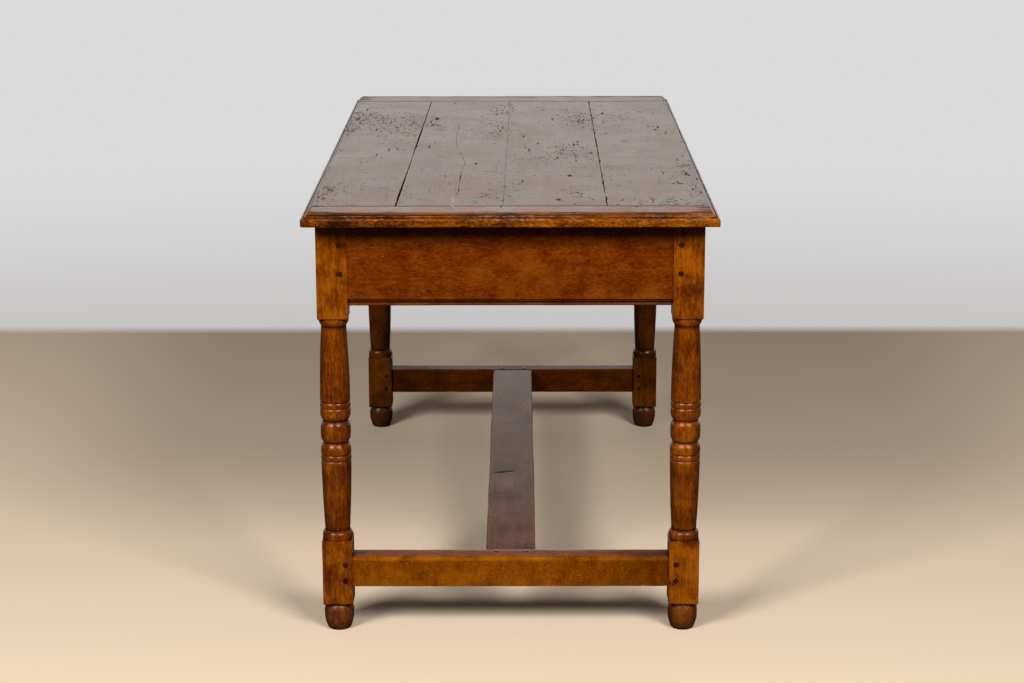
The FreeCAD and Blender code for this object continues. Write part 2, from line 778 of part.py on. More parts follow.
def edge_waste(outer):
    """Outline of the wood cut away by the moulding of the top's edge, for an outer edge at -outer.

    From the underside up: a rounded lower arris, the nose, a small quirk, the ovolo and a step to the flat.
    """
    over = size("cut_overrun")
    bottom = size("edge_bottom_round")
    nose = size("edge_nose_round")
    height = size("edge_nose_height")
    depth = size("edge_nose_depth")
    quirk = size("edge_quirk_width")
    inner = size("edge_moulding_width")
    thickness = size("top_thickness")

    def at(inward, up, *bulge):
        return (inward - outer, up, *bulge)

    return [
        at(-over, -over),
        at(bottom, -over),
        at(bottom, ZERO, -(QUARTER_BULGE * bottom)),
        at(ZERO, bottom),
        at(ZERO, height - nose, -(QUARTER_BULGE * nose)),
        at(nose, height),
        at(depth, height),
        at(depth + quirk / 2, height - size("edge_quirk_depth")),
        at(depth + quirk, height, -size("edge_ovolo_bulge")),
        at(inner, thickness - size("edge_step")),
        at(inner, thickness + over),
        at(-over, thickness + over),
    ]


def seam_place(number, end):
    """X of a seam of the top at its front (0) or back (1) end."""
    share = SEAM_SHARES[number][end]
    return share * size("top_width") - size("top_width") / 2


def board_edges(number):
    """X of a top board's left and right edge at its front and at its back end."""
    gaps = (size("seam_gap_left"), size("seam_gap_middle"), size("seam_gap_right"))
    half_width = size("top_width") / 2
    if number == 0:
        left = (-half_width, -half_width)
    else:
        left = tuple(seam_place(number - 1, end) + gaps[number - 1] / 2 for end in (0, 1))
    if number == len(SEAM_SHARES):
        right = (half_width, half_width)
    else:
        right = tuple(seam_place(number, end) - gaps[number] / 2 for end in (0, 1))
    return left, right


def breadboard_inner_edges():
    """Y of the inner edges of the front and the back breadboard end."""
    half = size("top_length") / 2
    return size("breadboard_front_width") - half, half - size("breadboard_back_width")


def make_top_board(number, name):
    """Lengthwise board of the top with a tongue at each end, drawn about the table's middle."""
    board = Timber(f"top_board_{name}")
    left, right = board_edges(number)
    front, back = breadboard_inner_edges()
    corners = [(left[0], front), (right[0], front), (right[1], back), (left[1], back)]
    board.pad("plank", board.sketch("outline", "XY_Plane", corners), size("top_thickness"))
    last = len(SEAM_SHARES)
    half_width = size("top_width") / 2
    if number == 0:
        waste = edge_waste(half_width)
    elif number == last:
        waste = [(-across, up, *[-rise for rise in bulge]) for across, up, *bulge in edge_waste(half_width)]
    else:
        waste = None
    if waste:
        board.run_cut("moulding", board.sketch("moulding_outline", "XZ_Plane", waste), 2 * size("top_length"))
    add_board_tongues(board, number, left, right)
    for index, (x, y) in enumerate(button_screw_places(name), start=1):
        depth = size("screw_length") - size("button_thickness") + size("screw_hole_spare")
        radius = size("screw_diameter") / 2 + size("screw_clearance")
        board.hole(f"pilot_hole_{index}", (x, y, ZERO), "+z", depth, radius)
    place(board.body, (ZERO, ZERO, TOP_UNDERSIDE))


def add_board_tongues(board, number, left, right):
    """Tongue at each end of a top board, set back from the moulded edge on an outer board."""
    front, back = breadboard_inner_edges()
    middle = size("top_thickness") / 2
    half = size("tongue_thickness") / 2
    margin_left = size("groove_end_margin") if number == 0 else size("tongue_edge_gap")
    margin_right = size("groove_end_margin") if number == len(SEAM_SHARES) else size("tongue_edge_gap")
    for word, end, shoulder, sign in (("front", 0, front, -1), ("back", 1, back, 1)):
        across = (left[end] + margin_left, right[end] - margin_right)
        reach = (shoulder, shoulder + sign * size("tongue_length"))
        board.box("Additive", f"{word}_tongue", across, reach, (middle - half, middle + half))


def button_reach(length):
    """Distance from an apron's inner face to the axis of the screw in a button of this length."""
    return length - size("button_screw_margin")


def inner_faces():
    """Distance of the side aprons' and of the end aprons' inner faces from the table's middle."""
    inset = size("apron_setback") + size("apron_thickness")
    return FRAME_WIDTH / 2 - inset, FRAME_LENGTH / 2 - inset


def button_screw_places(board_name):
    """X and Y of the button screws that enter one board of the top."""
    side_face, end_face = inner_faces()
    screw_x = side_face - button_reach(size("side_button_length"))
    screw_y = end_face - button_reach(size("end_button_length"))
    side_places = [share * FRAME_LENGTH for share in SIDE_BUTTON_SHARES]
    left_place, right_place = [share * FRAME_WIDTH for share in END_BUTTON_SHARES]
    places = {
        "left_outer": [(-screw_x, y) for y in side_places],
        "left_inner": [(left_place, -screw_y), (left_place, screw_y)],
        "right_inner": [(right_place, -screw_y), (right_place, screw_y)],
        "right_outer": [(screw_x, y) for y in side_places],
    }
    return places[board_name]


BOARD_NAMES = ("left_outer", "left_inner", "right_inner", "right_outer")


def make_breadboard(name, width, turn):
    """Breadboard end drawn for the front: its inner edge on the X axis, its moulded edges on three sides."""
    board = Timber(f"breadboard_{name}")
    half_width = size("top_width") / 2
    corners = [(-half_width, -width), (half_width, -width), (half_width, ZERO), (-half_width, ZERO)]
    board.pad("plank", board.sketch("outline", "XY_Plane", corners), size("top_thickness"))
    waste = board.sketch("moulding_outline", "XZ_Plane", edge_waste(half_width))
    path_corners = [(-half_width, ZERO), (-half_width, -width), (half_width, -width), (half_width, ZERO)]
    path = board.sketch("moulding_path", "XY_Plane", path_corners, closed=False)
    board.mitred_cut("moulding", waste, path, len(path_corners) - 1)
    middle = size("top_thickness") / 2
    half = size("tongue_thickness") / 2 + size("mortise_side_clearance")
    reach = half_width - size("groove_end_margin") + size("mortise_side_clearance")
    depth = size("tongue_length") + size("mortise_end_clearance")
    up = (middle - half, middle + half)
    board.box("Subtractive", "groove", (-reach, reach), (-depth, size("cut_overrun")), up)
    front, back = breadboard_inner_edges()
    place(board.body, (ZERO, front if name == "front" else back, TOP_UNDERSIDE), turn)


def make_peg(label, head, axis, length, proud_ends=1):
    """Tapered peg from its head along an axis into the wood. One or both ends stand a little proud."""
    peg = solid(
        "Cone",
        label,
        Radius1=PEG_RADIUS,
        Radius2=PEG_RADIUS - size("peg_taper") / 2,
        Height=length + proud_ends * size("peg_proud"),
    )
    return set_at(peg, head, axis)


def make_end_pegs(name, sign):
    """Pegs of one end: those of the apron's tenons, of the stretcher's and of the medial's."""
    axis = "+y" if sign < 0 else "-y"
    face = sign * (FRAME_LENGTH / 2 + size("peg_proud"))
    leg_middle = FRAME_WIDTH / 2 - LEG_HALF
    apron_pegs = []
    stretcher_pegs = []
    medial_pegs = []
    for word, side in (("left", -1), ("right", 1)):
        for number, height in enumerate(APRON_PEG_HEIGHTS, start=1):
            head = (side * (leg_middle + APRON_PEG_PLACE), face, height)
            apron_pegs.append(make_peg(f"apron_{name}_peg_{word}_{number}", head, axis, APRON_PEG_LENGTH))
        for number, height in enumerate(STRETCHER_PEG_HEIGHTS, start=1):
            head = (side * (leg_middle + STRETCHER_PEG_PLACE), face, height)
            label = f"stretcher_{name}_peg_{word}_{number}"
            stretcher_pegs.append(make_peg(label, head, axis, size("leg_section"), 2))
        inner = FRAME_LENGTH / 2 - size("stretcher_setback") - size("stretcher_thickness")
        head = (
            side * size("medial_peg_pitch") / 2,
            sign * (inner + size("medial_peg_inset")),
            STRETCHER_TOP + size("peg_proud"),
        )
        medial_pegs.append(make_peg(f"medial_{name}_peg_{word}", head, "-z", size("medial_peg_length")))
    group(f"pegs_apron_{name}", apron_pegs)
    group(f"pegs_stretcher_{name}", stretcher_pegs)
    group(f"pegs_medial_{name}", medial_pegs)


def make_side_pegs(name, sign):
    """Pegs of one long side, through the side apron's two tenons."""
    axis = "+x" if sign < 0 else "-x"
    face = sign * (FRAME_WIDTH / 2 + size("peg_proud"))
    leg_middle = FRAME_LENGTH / 2 - LEG_HALF
    pegs = []
    for word, end in (("front", -1), ("back", 1)):
        for number, height in enumerate(APRON_PEG_HEIGHTS, start=1):
            head = (face, end * (leg_middle + APRON_PEG_PLACE), height)
            pegs.append(make_peg(f"apron_{name}_peg_{word}_{number}", head, axis, APRON_PEG_LENGTH))
    group(f"pegs_apron_{name}", pegs)


def make_button(label, length):
    """Wooden button drawn from its apron's inner face along +Y, its top at zero, bored for its screw."""
    half = size("button_width") / 2
    low = -size("button_thickness")
    block = solid(
        "Box",
        f"{label}_block",
        Length=size("button_width"),
        Width=length,
        Height=size("button_thickness"),
    )
    set_at(block, (-half, ZERO, low))
    tongue = solid(
        "Box",
        f"{label}_tongue",
        Length=size("button_width"),
        Width=size("button_tongue_length"),
        Height=size("button_tongue_thickness"),
    )
    set_at(tongue, (-half, -size("button_tongue_length"), low))
    blank = DOC.addObject("Part::Fuse", f"{label}_blank")
    blank.Base = block
    blank.Tool = tongue
    over = size("cut_overrun")
    radius = size("screw_diameter") / 2 + size("screw_clearance")
    bore = solid("Cylinder", f"{label}_bore", Radius=radius, Height=size("button_thickness") + 2 * over)
    set_at(bore, (ZERO, button_reach(length), low - over))
    sink = solid(
        "Cone",
        f"{label}_sink",
        Radius1=size("screw_head_diameter") / 2 + size("screw_clearance"),
        Radius2=radius,
        Height=size("screw_head_height"),
    )
    set_at(sink, (ZERO, button_reach(length), low))
    tools = DOC.addObject("Part::Fuse", f"{label}_tools")
    tools.Base = bore
    tools.Tool = sink
    button = DOC.addObject("Part::Cut", label)
    button.Base = blank
    button.Tool = tools
    return button


def make_screw(label):
    """Wood screw drawn from the middle of its head's flat up along +Z, with a straight slot."""
    head_radius = size("screw_head_diameter") / 2
    head_height = size("screw_head_height")
    radius = size("screw_diameter") / 2
    head = solid("Cone", f"{label}_head", Radius1=head_radius, Radius2=radius, Height=head_height)
    shank_length = size("screw_length") - head_height - size("screw_tip_length")
    shank = solid("Cylinder", f"{label}_shank", Radius=radius, Height=shank_length)
    set_at(shank, (ZERO, ZERO, head_height))
    tip = solid(
        "Cone",
        f"{label}_tip",
        Radius1=radius,
        Radius2=size("screw_tip_diameter") / 2,
        Height=size("screw_tip_length"),
    )
    set_at(tip, (ZERO, ZERO, size("screw_length") - size("screw_tip_length")))
    blank = DOC.addObject("Part::MultiFuse", f"{label}_blank")
    blank.Shapes = [head, shank, tip]
    slot = solid(
        "Box",
        f"{label}_slot",
        Length=size("screw_head_diameter") + 2 * size("screw_slot_width"),
        Width=size("screw_slot_width"),
        Height=2 * size("screw_slot_depth"),
    )
    half_slot = head_radius + size("screw_slot_width")
    set_at(slot, (-half_slot, -size("screw_slot_width") / 2, -size("screw_slot_depth")))
    screw = DOC.addObject("Part::Cut", label)
    screw.Base = blank
    screw.Tool = slot
    return screw


def make_buttons(name, sign, inner_face, length, turn, places):
    """Buttons of one apron as a node, and their screws as a list."""
    buttons = []
    screws = []
    across = turn in SIDES.values()
    for number, button_place in enumerate(places, start=1):
        face = sign * inner_face
        screw_line = sign * (inner_face - button_reach(length))
        button = make_button(f"button_{name}_{number}", length)
        screw = make_screw(f"screw_{name}_{number}")
        button_corner = (face, button_place) if across else (button_place, face)
        screw_corner = (screw_line, button_place) if across else (button_place, screw_line)
        place(button, (*button_corner, TOP_UNDERSIDE), turn)
        place(screw, (*screw_corner, TOP_UNDERSIDE - size("button_thickness")), turn)
        buttons.append(button)
        screws.append(screw)
    group(f"top_buttons_{name}", buttons)
    return screws


def make_all_buttons():
    """The ten buttons in four nodes, and their ten screws in one."""
    side_face, end_face = inner_faces()
    end_length = size("end_button_length")
    side_length = size("side_button_length")
    end_places = [share * FRAME_WIDTH for share in END_BUTTON_SHARES]
    side_places = [share * FRAME_LENGTH for share in SIDE_BUTTON_SHARES]
    screws = make_buttons("front", -1, end_face, end_length, ENDS["front"], end_places)
    screws += make_buttons("back", 1, end_face, end_length, ENDS["back"], end_places)
    screws += make_buttons("left", -1, side_face, side_length, SIDES["left"], side_places)
    screws += make_buttons("right", 1, side_face, side_length, SIDES["right"], side_places)
    group("button_screws", screws)


def make_table():
    """Every sub-part of the table."""
    for name, (side, end) in CORNERS.items():
        make_leg(name, side, end)
    make_aprons()
    outer = FRAME_LENGTH / 2 - size("stretcher_setback")
    make_end_stretcher("front", (ZERO, -outer, size("stretcher_floor_gap")), ENDS["front"])
    make_end_stretcher("back", (ZERO, outer, size("stretcher_floor_gap")), ENDS["back"])
    make_medial_stretcher()
    for number, name in enumerate(BOARD_NAMES):
        make_top_board(number, name)
    make_breadboard("front", size("breadboard_front_width"), ENDS["front"])
    make_breadboard("back", size("breadboard_back_width"), ENDS["back"])
    make_end_pegs("front", -1)
    make_end_pegs("back", 1)
    make_side_pegs("left", -1)
    make_side_pegs("right", 1)
    make_all_buttons()


def check_document():
    """Stops at any object that failed to recompute and any sub-part without a sound shape."""
    for thing in DOC.Objects:
        if "Invalid" in thing.State or "Error" in thing.State:
            raise RuntimeError(f"{thing.Name} failed: {thing.State}")
    for node in NODES:
        if node.Shape.isNull() or not node.Shape.isValid():
            raise RuntimeError(f"{node.Label} has no sound shape")


def export_nodes():
    """Writes each sub-part to its own STEP file."""
    os.makedirs("parts", exist_ok=True)
    for node in NODES:
        node.Shape.exportStep(os.path.join("parts", f"{node.Label}.step"))
        print(node.Label, "solids", len(node.Shape.Solids), "volume", round(node.Shape.Volume))


make_table()
DOC.recompute()
check_document()
export_nodes()
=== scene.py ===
"""Farmhouse table: its looks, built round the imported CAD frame.

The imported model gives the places. Each leg, rail, board and peg is made again here as a worn, waxed surface
in the same place, and rides on the frame's one body. Lengths are in millimetres until a mesh is made. X runs
across the table, Y along it to the far end, Z up, and the origin is on the floor under the middle of the top.
The last number given to waver is a seed, a different one for each kind of unevenness.
"""
import itertools
import json
import logging
import math
from collections.abc import Sequence
from dataclasses import dataclass, field, replace
from enum import Enum

import bpy
import numpy as np
from mathutils import Matrix

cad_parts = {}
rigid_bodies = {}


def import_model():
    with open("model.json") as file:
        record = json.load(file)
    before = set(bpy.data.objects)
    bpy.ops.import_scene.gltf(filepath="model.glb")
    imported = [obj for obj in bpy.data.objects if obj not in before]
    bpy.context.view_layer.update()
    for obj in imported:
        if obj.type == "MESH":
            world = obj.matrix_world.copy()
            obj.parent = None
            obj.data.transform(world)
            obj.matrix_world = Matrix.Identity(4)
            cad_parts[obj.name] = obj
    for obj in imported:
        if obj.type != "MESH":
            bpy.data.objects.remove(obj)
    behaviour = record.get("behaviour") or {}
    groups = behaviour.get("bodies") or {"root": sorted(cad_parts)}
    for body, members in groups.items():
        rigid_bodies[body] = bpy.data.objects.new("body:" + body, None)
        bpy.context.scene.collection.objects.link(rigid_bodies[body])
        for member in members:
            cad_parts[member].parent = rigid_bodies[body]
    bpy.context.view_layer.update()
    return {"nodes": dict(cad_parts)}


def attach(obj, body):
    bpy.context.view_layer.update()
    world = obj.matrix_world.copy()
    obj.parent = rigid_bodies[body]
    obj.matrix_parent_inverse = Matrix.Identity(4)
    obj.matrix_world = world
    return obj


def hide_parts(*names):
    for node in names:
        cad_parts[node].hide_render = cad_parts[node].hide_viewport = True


LOG = logging.getLogger("farmhouse_table")
METRES = 0.001
BODY = "root"

# Sockets of a colour Mix node by number, because their names repeat for each type of value
SHARE, UNDER, OVER, MIXED = 0, 6, 7, 2

Colour = tuple[float, float, float, float]
Corner = tuple[float, ...]
Material = bpy.types.Material
Points = np.ndarray
Socket = bpy.types.NodeSocket
Tree = bpy.types.NodeTree
Crossing = tuple[tuple[float, float], tuple[float, float]]


class Grain(Enum):
    """The axis that a piece's fibres run along."""

    ACROSS = 0
    ALONG = 1
    UPRIGHT = 2


class Side(Enum):
    """A side of the table, with the turn in degrees that brings a piece drawn for the front there."""

    FRONT = 0
    RIGHT = 90
    BACK = 180
    LEFT = 270


# Number fields


def lattice_values(cells: Points, seed: int) -> Points:
    """Gives each whole-number cell its own steady value.

    Formula: the three cell numbers and the seed times four odd constants, joined by exclusive or, then mixed
    by shifts and one more product, and scaled to -1..1.

    Args:
        cells: Whole numbers, any shape with 3 in the last axis.
        seed: Number that picks another field.

    Returns:
        Values from -1 to 1, without the last axis.
    """
    odd = np.array([73856093, 19349663, 83492791], np.uint64)
    parts = cells.astype(np.int64).astype(np.uint64) * odd
    mixed = parts[..., 0] ^ parts[..., 1] ^ parts[..., 2] ^ np.uint64(seed * 2654435761)
    mixed = (mixed ^ (mixed >> np.uint64(33))) * np.uint64(0xFF51AFD7ED558CCD)
    mixed ^= mixed >> np.uint64(29)
    return (mixed >> np.uint64(11)).astype(float) / 2.0**52 - 1.0


def waver(points: Points, cell: float | tuple[float, float, float], seed: int) -> Points:
    """Smooth random field over space.

    Formula: the values at the eight corners of a point's cell, blended by 3t^2 - 2t^3 of its place in the
    cell.

    Args:
        points: Places in mm, any shape with 3 in the last axis.
        cell: Cell size in mm, one for all axes or one for each.
        seed: Number that picks another field.

    Returns:
        Values from -1 to 1, without the last axis.
    """
    scaled = points / np.asarray(cell, float)
    base = np.floor(scaled)
    share = scaled - base
    share = share * share * (3 - 2 * share)
    total = np.zeros(points.shape[:-1])
    for corner in itertools.product((0, 1), repeat=3):
        weight = np.prod(np.where(np.array(corner) == 1, share, 1 - share), axis=-1)
        total += weight * lattice_values(base + corner, seed)
    return total


def bump(values: Points, centre: float, reach: float) -> Points:
    """Bell curve: e to the minus square of the distance from the centre in reaches."""
    return np.exp(-(((values - centre) / reach) ** 2))


def fade(values: Points, low: float, high: float) -> Points:
    """Ramp from 0 at low to 1 at high, with soft ends: 3t^2 - 2t^3."""
    share = np.clip((values - low) / (high - low), 0, 1)
    return share * share * (3 - 2 * share)


def trace(corners: Sequence[Corner], step: float, closed: bool = False) -> Points:
    """Points along a line of straight and arched runs.

    Formula: a straight run is divided evenly. An arched one is the circle through both its ends that rises by
    the bulge over the chord, to the right of the way it runs, divided evenly by angle.

    Args:
        corners: Each (a, b), or (a, b, bulge) for the run that starts there.
        step: Longest distance between points in mm.
        closed: Whether the last corner runs on to the first.

    Returns:
        The points, one row each.
    """
    runs = []
    count = len(corners) if closed else len(corners) - 1
    for index in range(count):
        start = np.array(corners[index][:2], float)
        end = np.array(corners[(index + 1) % len(corners)][:2], float)
        chord = end - start
        length = float(np.hypot(*chord))
        rise = corners[index][2] if len(corners[index]) == 3 else 0.0
        if rise:
            share = np.linspace(-1, 1, max(5, math.ceil(length / step)) + 1)[:-1, None]
            radius = (length**2 / 4 + rise**2) / (2 * abs(rise))
            angle = share * math.asin(min(1.0, length / (2 * radius)))
            right = np.array([chord[1], -chord[0]]) / length
            height = radius * np.cos(angle) - radius + abs(rise)
            middle = (start + end) / 2
            lifted = right * math.copysign(1, rise) * height
            runs.append(middle + chord / length * radius * np.sin(angle) + lifted)
        else:
            share = np.linspace(0, 1, max(1, math.ceil(length / step)) + 1)[:-1, None]
            runs.append(start + chord * share)
    if not closed:
        runs.append(np.array([corners[-1][:2]], float))
    return np.concatenate(runs)


def loop_normals(loop: Points) -> Points:
    """Outward normals of a closed line.

    Formula: the line's tangent turned a quarter to the right.

    Args:
        loop: Points of the line, anticlockwise.

    Returns:
        One unit normal for each point.
    """
    tangent = np.roll(loop, -1, axis=0) - np.roll(loop, 1, axis=0)
    tangent /= np.maximum(np.linalg.norm(tangent, axis=1, keepdims=True), 1e-9)
    return np.stack([tangent[:, 1], -tangent[:, 0]], axis=1)


def arris_weight(loop: Points, reach: float) -> Points:
    """How near each point of a closed line is to one of its outward corners.

    Formula: the line's turn at each point, from the cross product of the two runs that meet there, spread to
    its neighbours by a bell curve of their distance, and capped at 1.

    Args:
        loop: Points of the line, anticlockwise.
        reach: Distance in mm over which a corner counts.

    Returns:
        One weight from 0 to 1 for each point.
    """
    ahead = np.roll(loop, -1, axis=0) - loop
    behind = loop - np.roll(loop, 1, axis=0)
    lengths = np.linalg.norm(ahead, axis=1) * np.linalg.norm(behind, axis=1)
    turn = (behind[:, 0] * ahead[:, 1] - behind[:, 1] * ahead[:, 0]) / np.maximum(lengths, 1e-9)
    gaps = np.linalg.norm(loop[:, None, :] - loop[None, :, :], axis=2)
    spread = np.exp(-((gaps / reach) ** 2)) * np.maximum(turn, 0)[None, :]
    return np.clip(spread.sum(axis=1), 0, 1)


# Meshes


@dataclass
class Skin:
    """Closed shell of a piece: a grid whose columns close on themselves, its first and last row capped.

    The marks say where the finish changes: dirt_and_shade for grime and painted shade, polish for rubbed
    wood, bare_and_painted_light for pale wood and painted light, pitted for how closely worm marks stand and
    waxed for more sheen.
    """

    points: Points
    marks: dict[str, Points] = field(default_factory=dict)

    def mark(self, name: str) -> Points:
        """One mark at each point of the shell, 0 where it has none of that name."""
        return np.broadcast_to(self.marks.get(name, 0.0), self.points.shape[:2]).ravel()

    def faces(self, first: int) -> list[list[int]]:
        """Numbers of the corners of each face, all outward.

        Formula: corner (row, column) is number first + row * columns + column. The sum of the signed volumes
        under the faces tells whether they point inward, and then they are turned round.

        Args:
            first: Number of this shell's first point in its mesh.

        Returns:
            Quads for the grid and one polygon for each cap.
        """
        rows, columns = self.points.shape[:2]
        row = np.arange(rows - 1)[:, None] * columns
        column = np.arange(columns)[None, :]
        after = (column + 1) % columns
        quads = np.stack(
            [row + column, row + after, row + columns + after, row + columns + column], axis=-1
        ).reshape(-1, 4)
        flat = self.points.reshape(-1, 3)
        flat = flat - flat.mean(axis=0)
        corners = flat[quads]
        volume = np.einsum("ij,ij->i", corners[:, 0], np.cross(corners[:, 1], corners[:, 2])).sum()
        volume += np.einsum("ij,ij->i", corners[:, 0], np.cross(corners[:, 2], corners[:, 3])).sum()
        start = np.arange(columns)[::-1]
        end = np.arange(columns) + (rows - 1) * columns
        if volume < 0:
            quads, start, end = quads[:, ::-1], start[::-1], end[::-1]
        return [*(quads + first).tolist(), (start + first).tolist(), (end + first).tolist()]


MARKS = ("dirt_and_shade", "polish", "bare_and_painted_light", "pitted", "waxed")
# Faces that meet at more than this angle in degrees keep a sharp edge between them
SHARP_ANGLE = 36


def make_piece(name: str, skins: Sequence[Skin], finish: Material) -> bpy.types.Object:
    """Puts one or more shells into one mesh object that stands for the CAD node of its name.

    Args:
        name: The CAD node's name, which this piece takes over.
        skins: The shells, in mm.
        finish: Its material.

    Returns:
        The object, riding on the frame's body.
    """
    vertices = np.concatenate([skin.points.reshape(-1, 3) for skin in skins]) * METRES
    faces: list[list[int]] = []
    first = 0
    for skin in skins:
        faces += skin.faces(first)
        first += skin.points.shape[0] * skin.points.shape[1]
    mesh = bpy.data.meshes.new(f"{name}_worn")
    mesh.from_pydata(vertices, [], faces)
    for mark in MARKS:
        layer = mesh.attributes.new(mark, "FLOAT", "POINT")
        values = np.concatenate([skin.mark(mark) for skin in skins])
        layer.data.foreach_set("value", np.clip(values, 0, 1).astype(np.float32))
    mesh.materials.append(finish)
    mesh.shade_smooth()
    mesh.set_sharp_from_angle(angle=math.radians(SHARP_ANGLE))
    mesh.update()
    piece = bpy.data.objects.new(f"{name}_worn", mesh)
    bpy.context.scene.collection.objects.link(piece)
    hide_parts(name)
    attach(piece, BODY)
    LOG.info("%s: %d faces", name, len(faces))
    return piece


def turned(points: Points, side: Side) -> Points:
    """Points drawn for the front, turned about Z to another side.

    Formula: x' = x cos - y sin, y' = x sin + y cos.

    Args:
        points: Places in mm, any shape with 3 in the last axis.
        side: Where they go.

    Returns:
        The turned places, of the same shape.
    """
    angle = math.radians(side.value)
    cos, sin = round(math.cos(angle)), round(math.sin(angle))
    x, y, z = points[..., 0], points[..., 1], points[..., 2]
    return np.stack([x * cos - y * sin, x * sin + y * cos, z], axis=-1)


def standing(axes: Sequence[Points], place: Points) -> Matrix:
    """Place and turn of a camera or lamp.

    Args:
        axes: Its own X, Y and Z as unit vectors of the room.
        place: Where it stands, in metres.

    Returns:
        The matrix with these four as its columns.
    """
    rows = np.column_stack([*axes, place]).tolist()
    return Matrix([*rows, (0.0, 0.0, 0.0, 1.0)])


# Materials


def linear(code: str) -> Colour:
    """Linear colour of an sRGB hex code.

    Formula: each channel over 12.92 up to 0.04045, and above it (value + 0.055) / 1.055 to the power 2.4.

    Args:
        code: Six hex digits after a hash sign.

    Returns:
        Red, green and blue from 0 to 1, and full alpha.
    """
    values = [int(code[place : place + 2], 16) / 255 for place in (1, 3, 5)]
    red, green, blue = (
        value / 12.92 if value <= 0.04045 else ((value + 0.055) / 1.055) ** 2.4 for value in values
    )
    return red, green, blue, 1.0


def add_node(
    tree: Tree, kind: str, settings: dict | None = None, inputs: dict | None = None
) -> bpy.types.Node:
    """Adds a node, sets it and links it.

    Args:
        tree: The node tree.
        kind: Blender's name of the node's class.
        settings: Values of the node's own settings.
        inputs: For each input, by name or number, the socket that feeds it or its value.

    Returns:
        The node.
    """
    node = tree.nodes.new(kind)
    for key, value in (settings or {}).items():
        setattr(node, key, value)
    for key, value in (inputs or {}).items():
        socket = node.inputs[key]
        if isinstance(value, Socket):
            tree.links.new(value, socket)
        else:
            socket.default_value = value
    return node


def set_ramp(node: bpy.types.Node, stops: Sequence[tuple[float, Colour]]) -> None:
    """Gives a colour ramp its stops.

    Args:
        node: The ramp's node.
        stops: Place and linear colour of each stop, in order.
    """
    elements = node.color_ramp.elements
    while len(elements) < len(stops):
        elements.new(1.0)
    for element, (place, colour) in zip(elements, stops):
        element.position = place
        element.color = colour


def crossing(
    source: Socket, span: tuple[float, float], levels: tuple[float, float]
) -> dict[str, Socket | float]:
    """Inputs of a Map Range node that goes from one level to another while its source crosses a span.

    Args:
        source: Socket of the value.
        span: Where the source starts and ends.
        levels: What comes out before and after.

    Returns:
        The inputs by name.
    """
    (start, end), (before, after) = span, levels
    return {"Value": source, "From Min": start, "From Max": end, "To Min": before, "To Max": after}


def new_material(name: str) -> tuple[Material, Tree]:
    """Starts a node material.

    Args:
        name: Its name.

    Returns:
        The material and its empty tree.
    """
    material = bpy.data.materials.new(name)
    material.use_nodes = True
    material.node_tree.nodes.clear()
    return material, material.node_tree


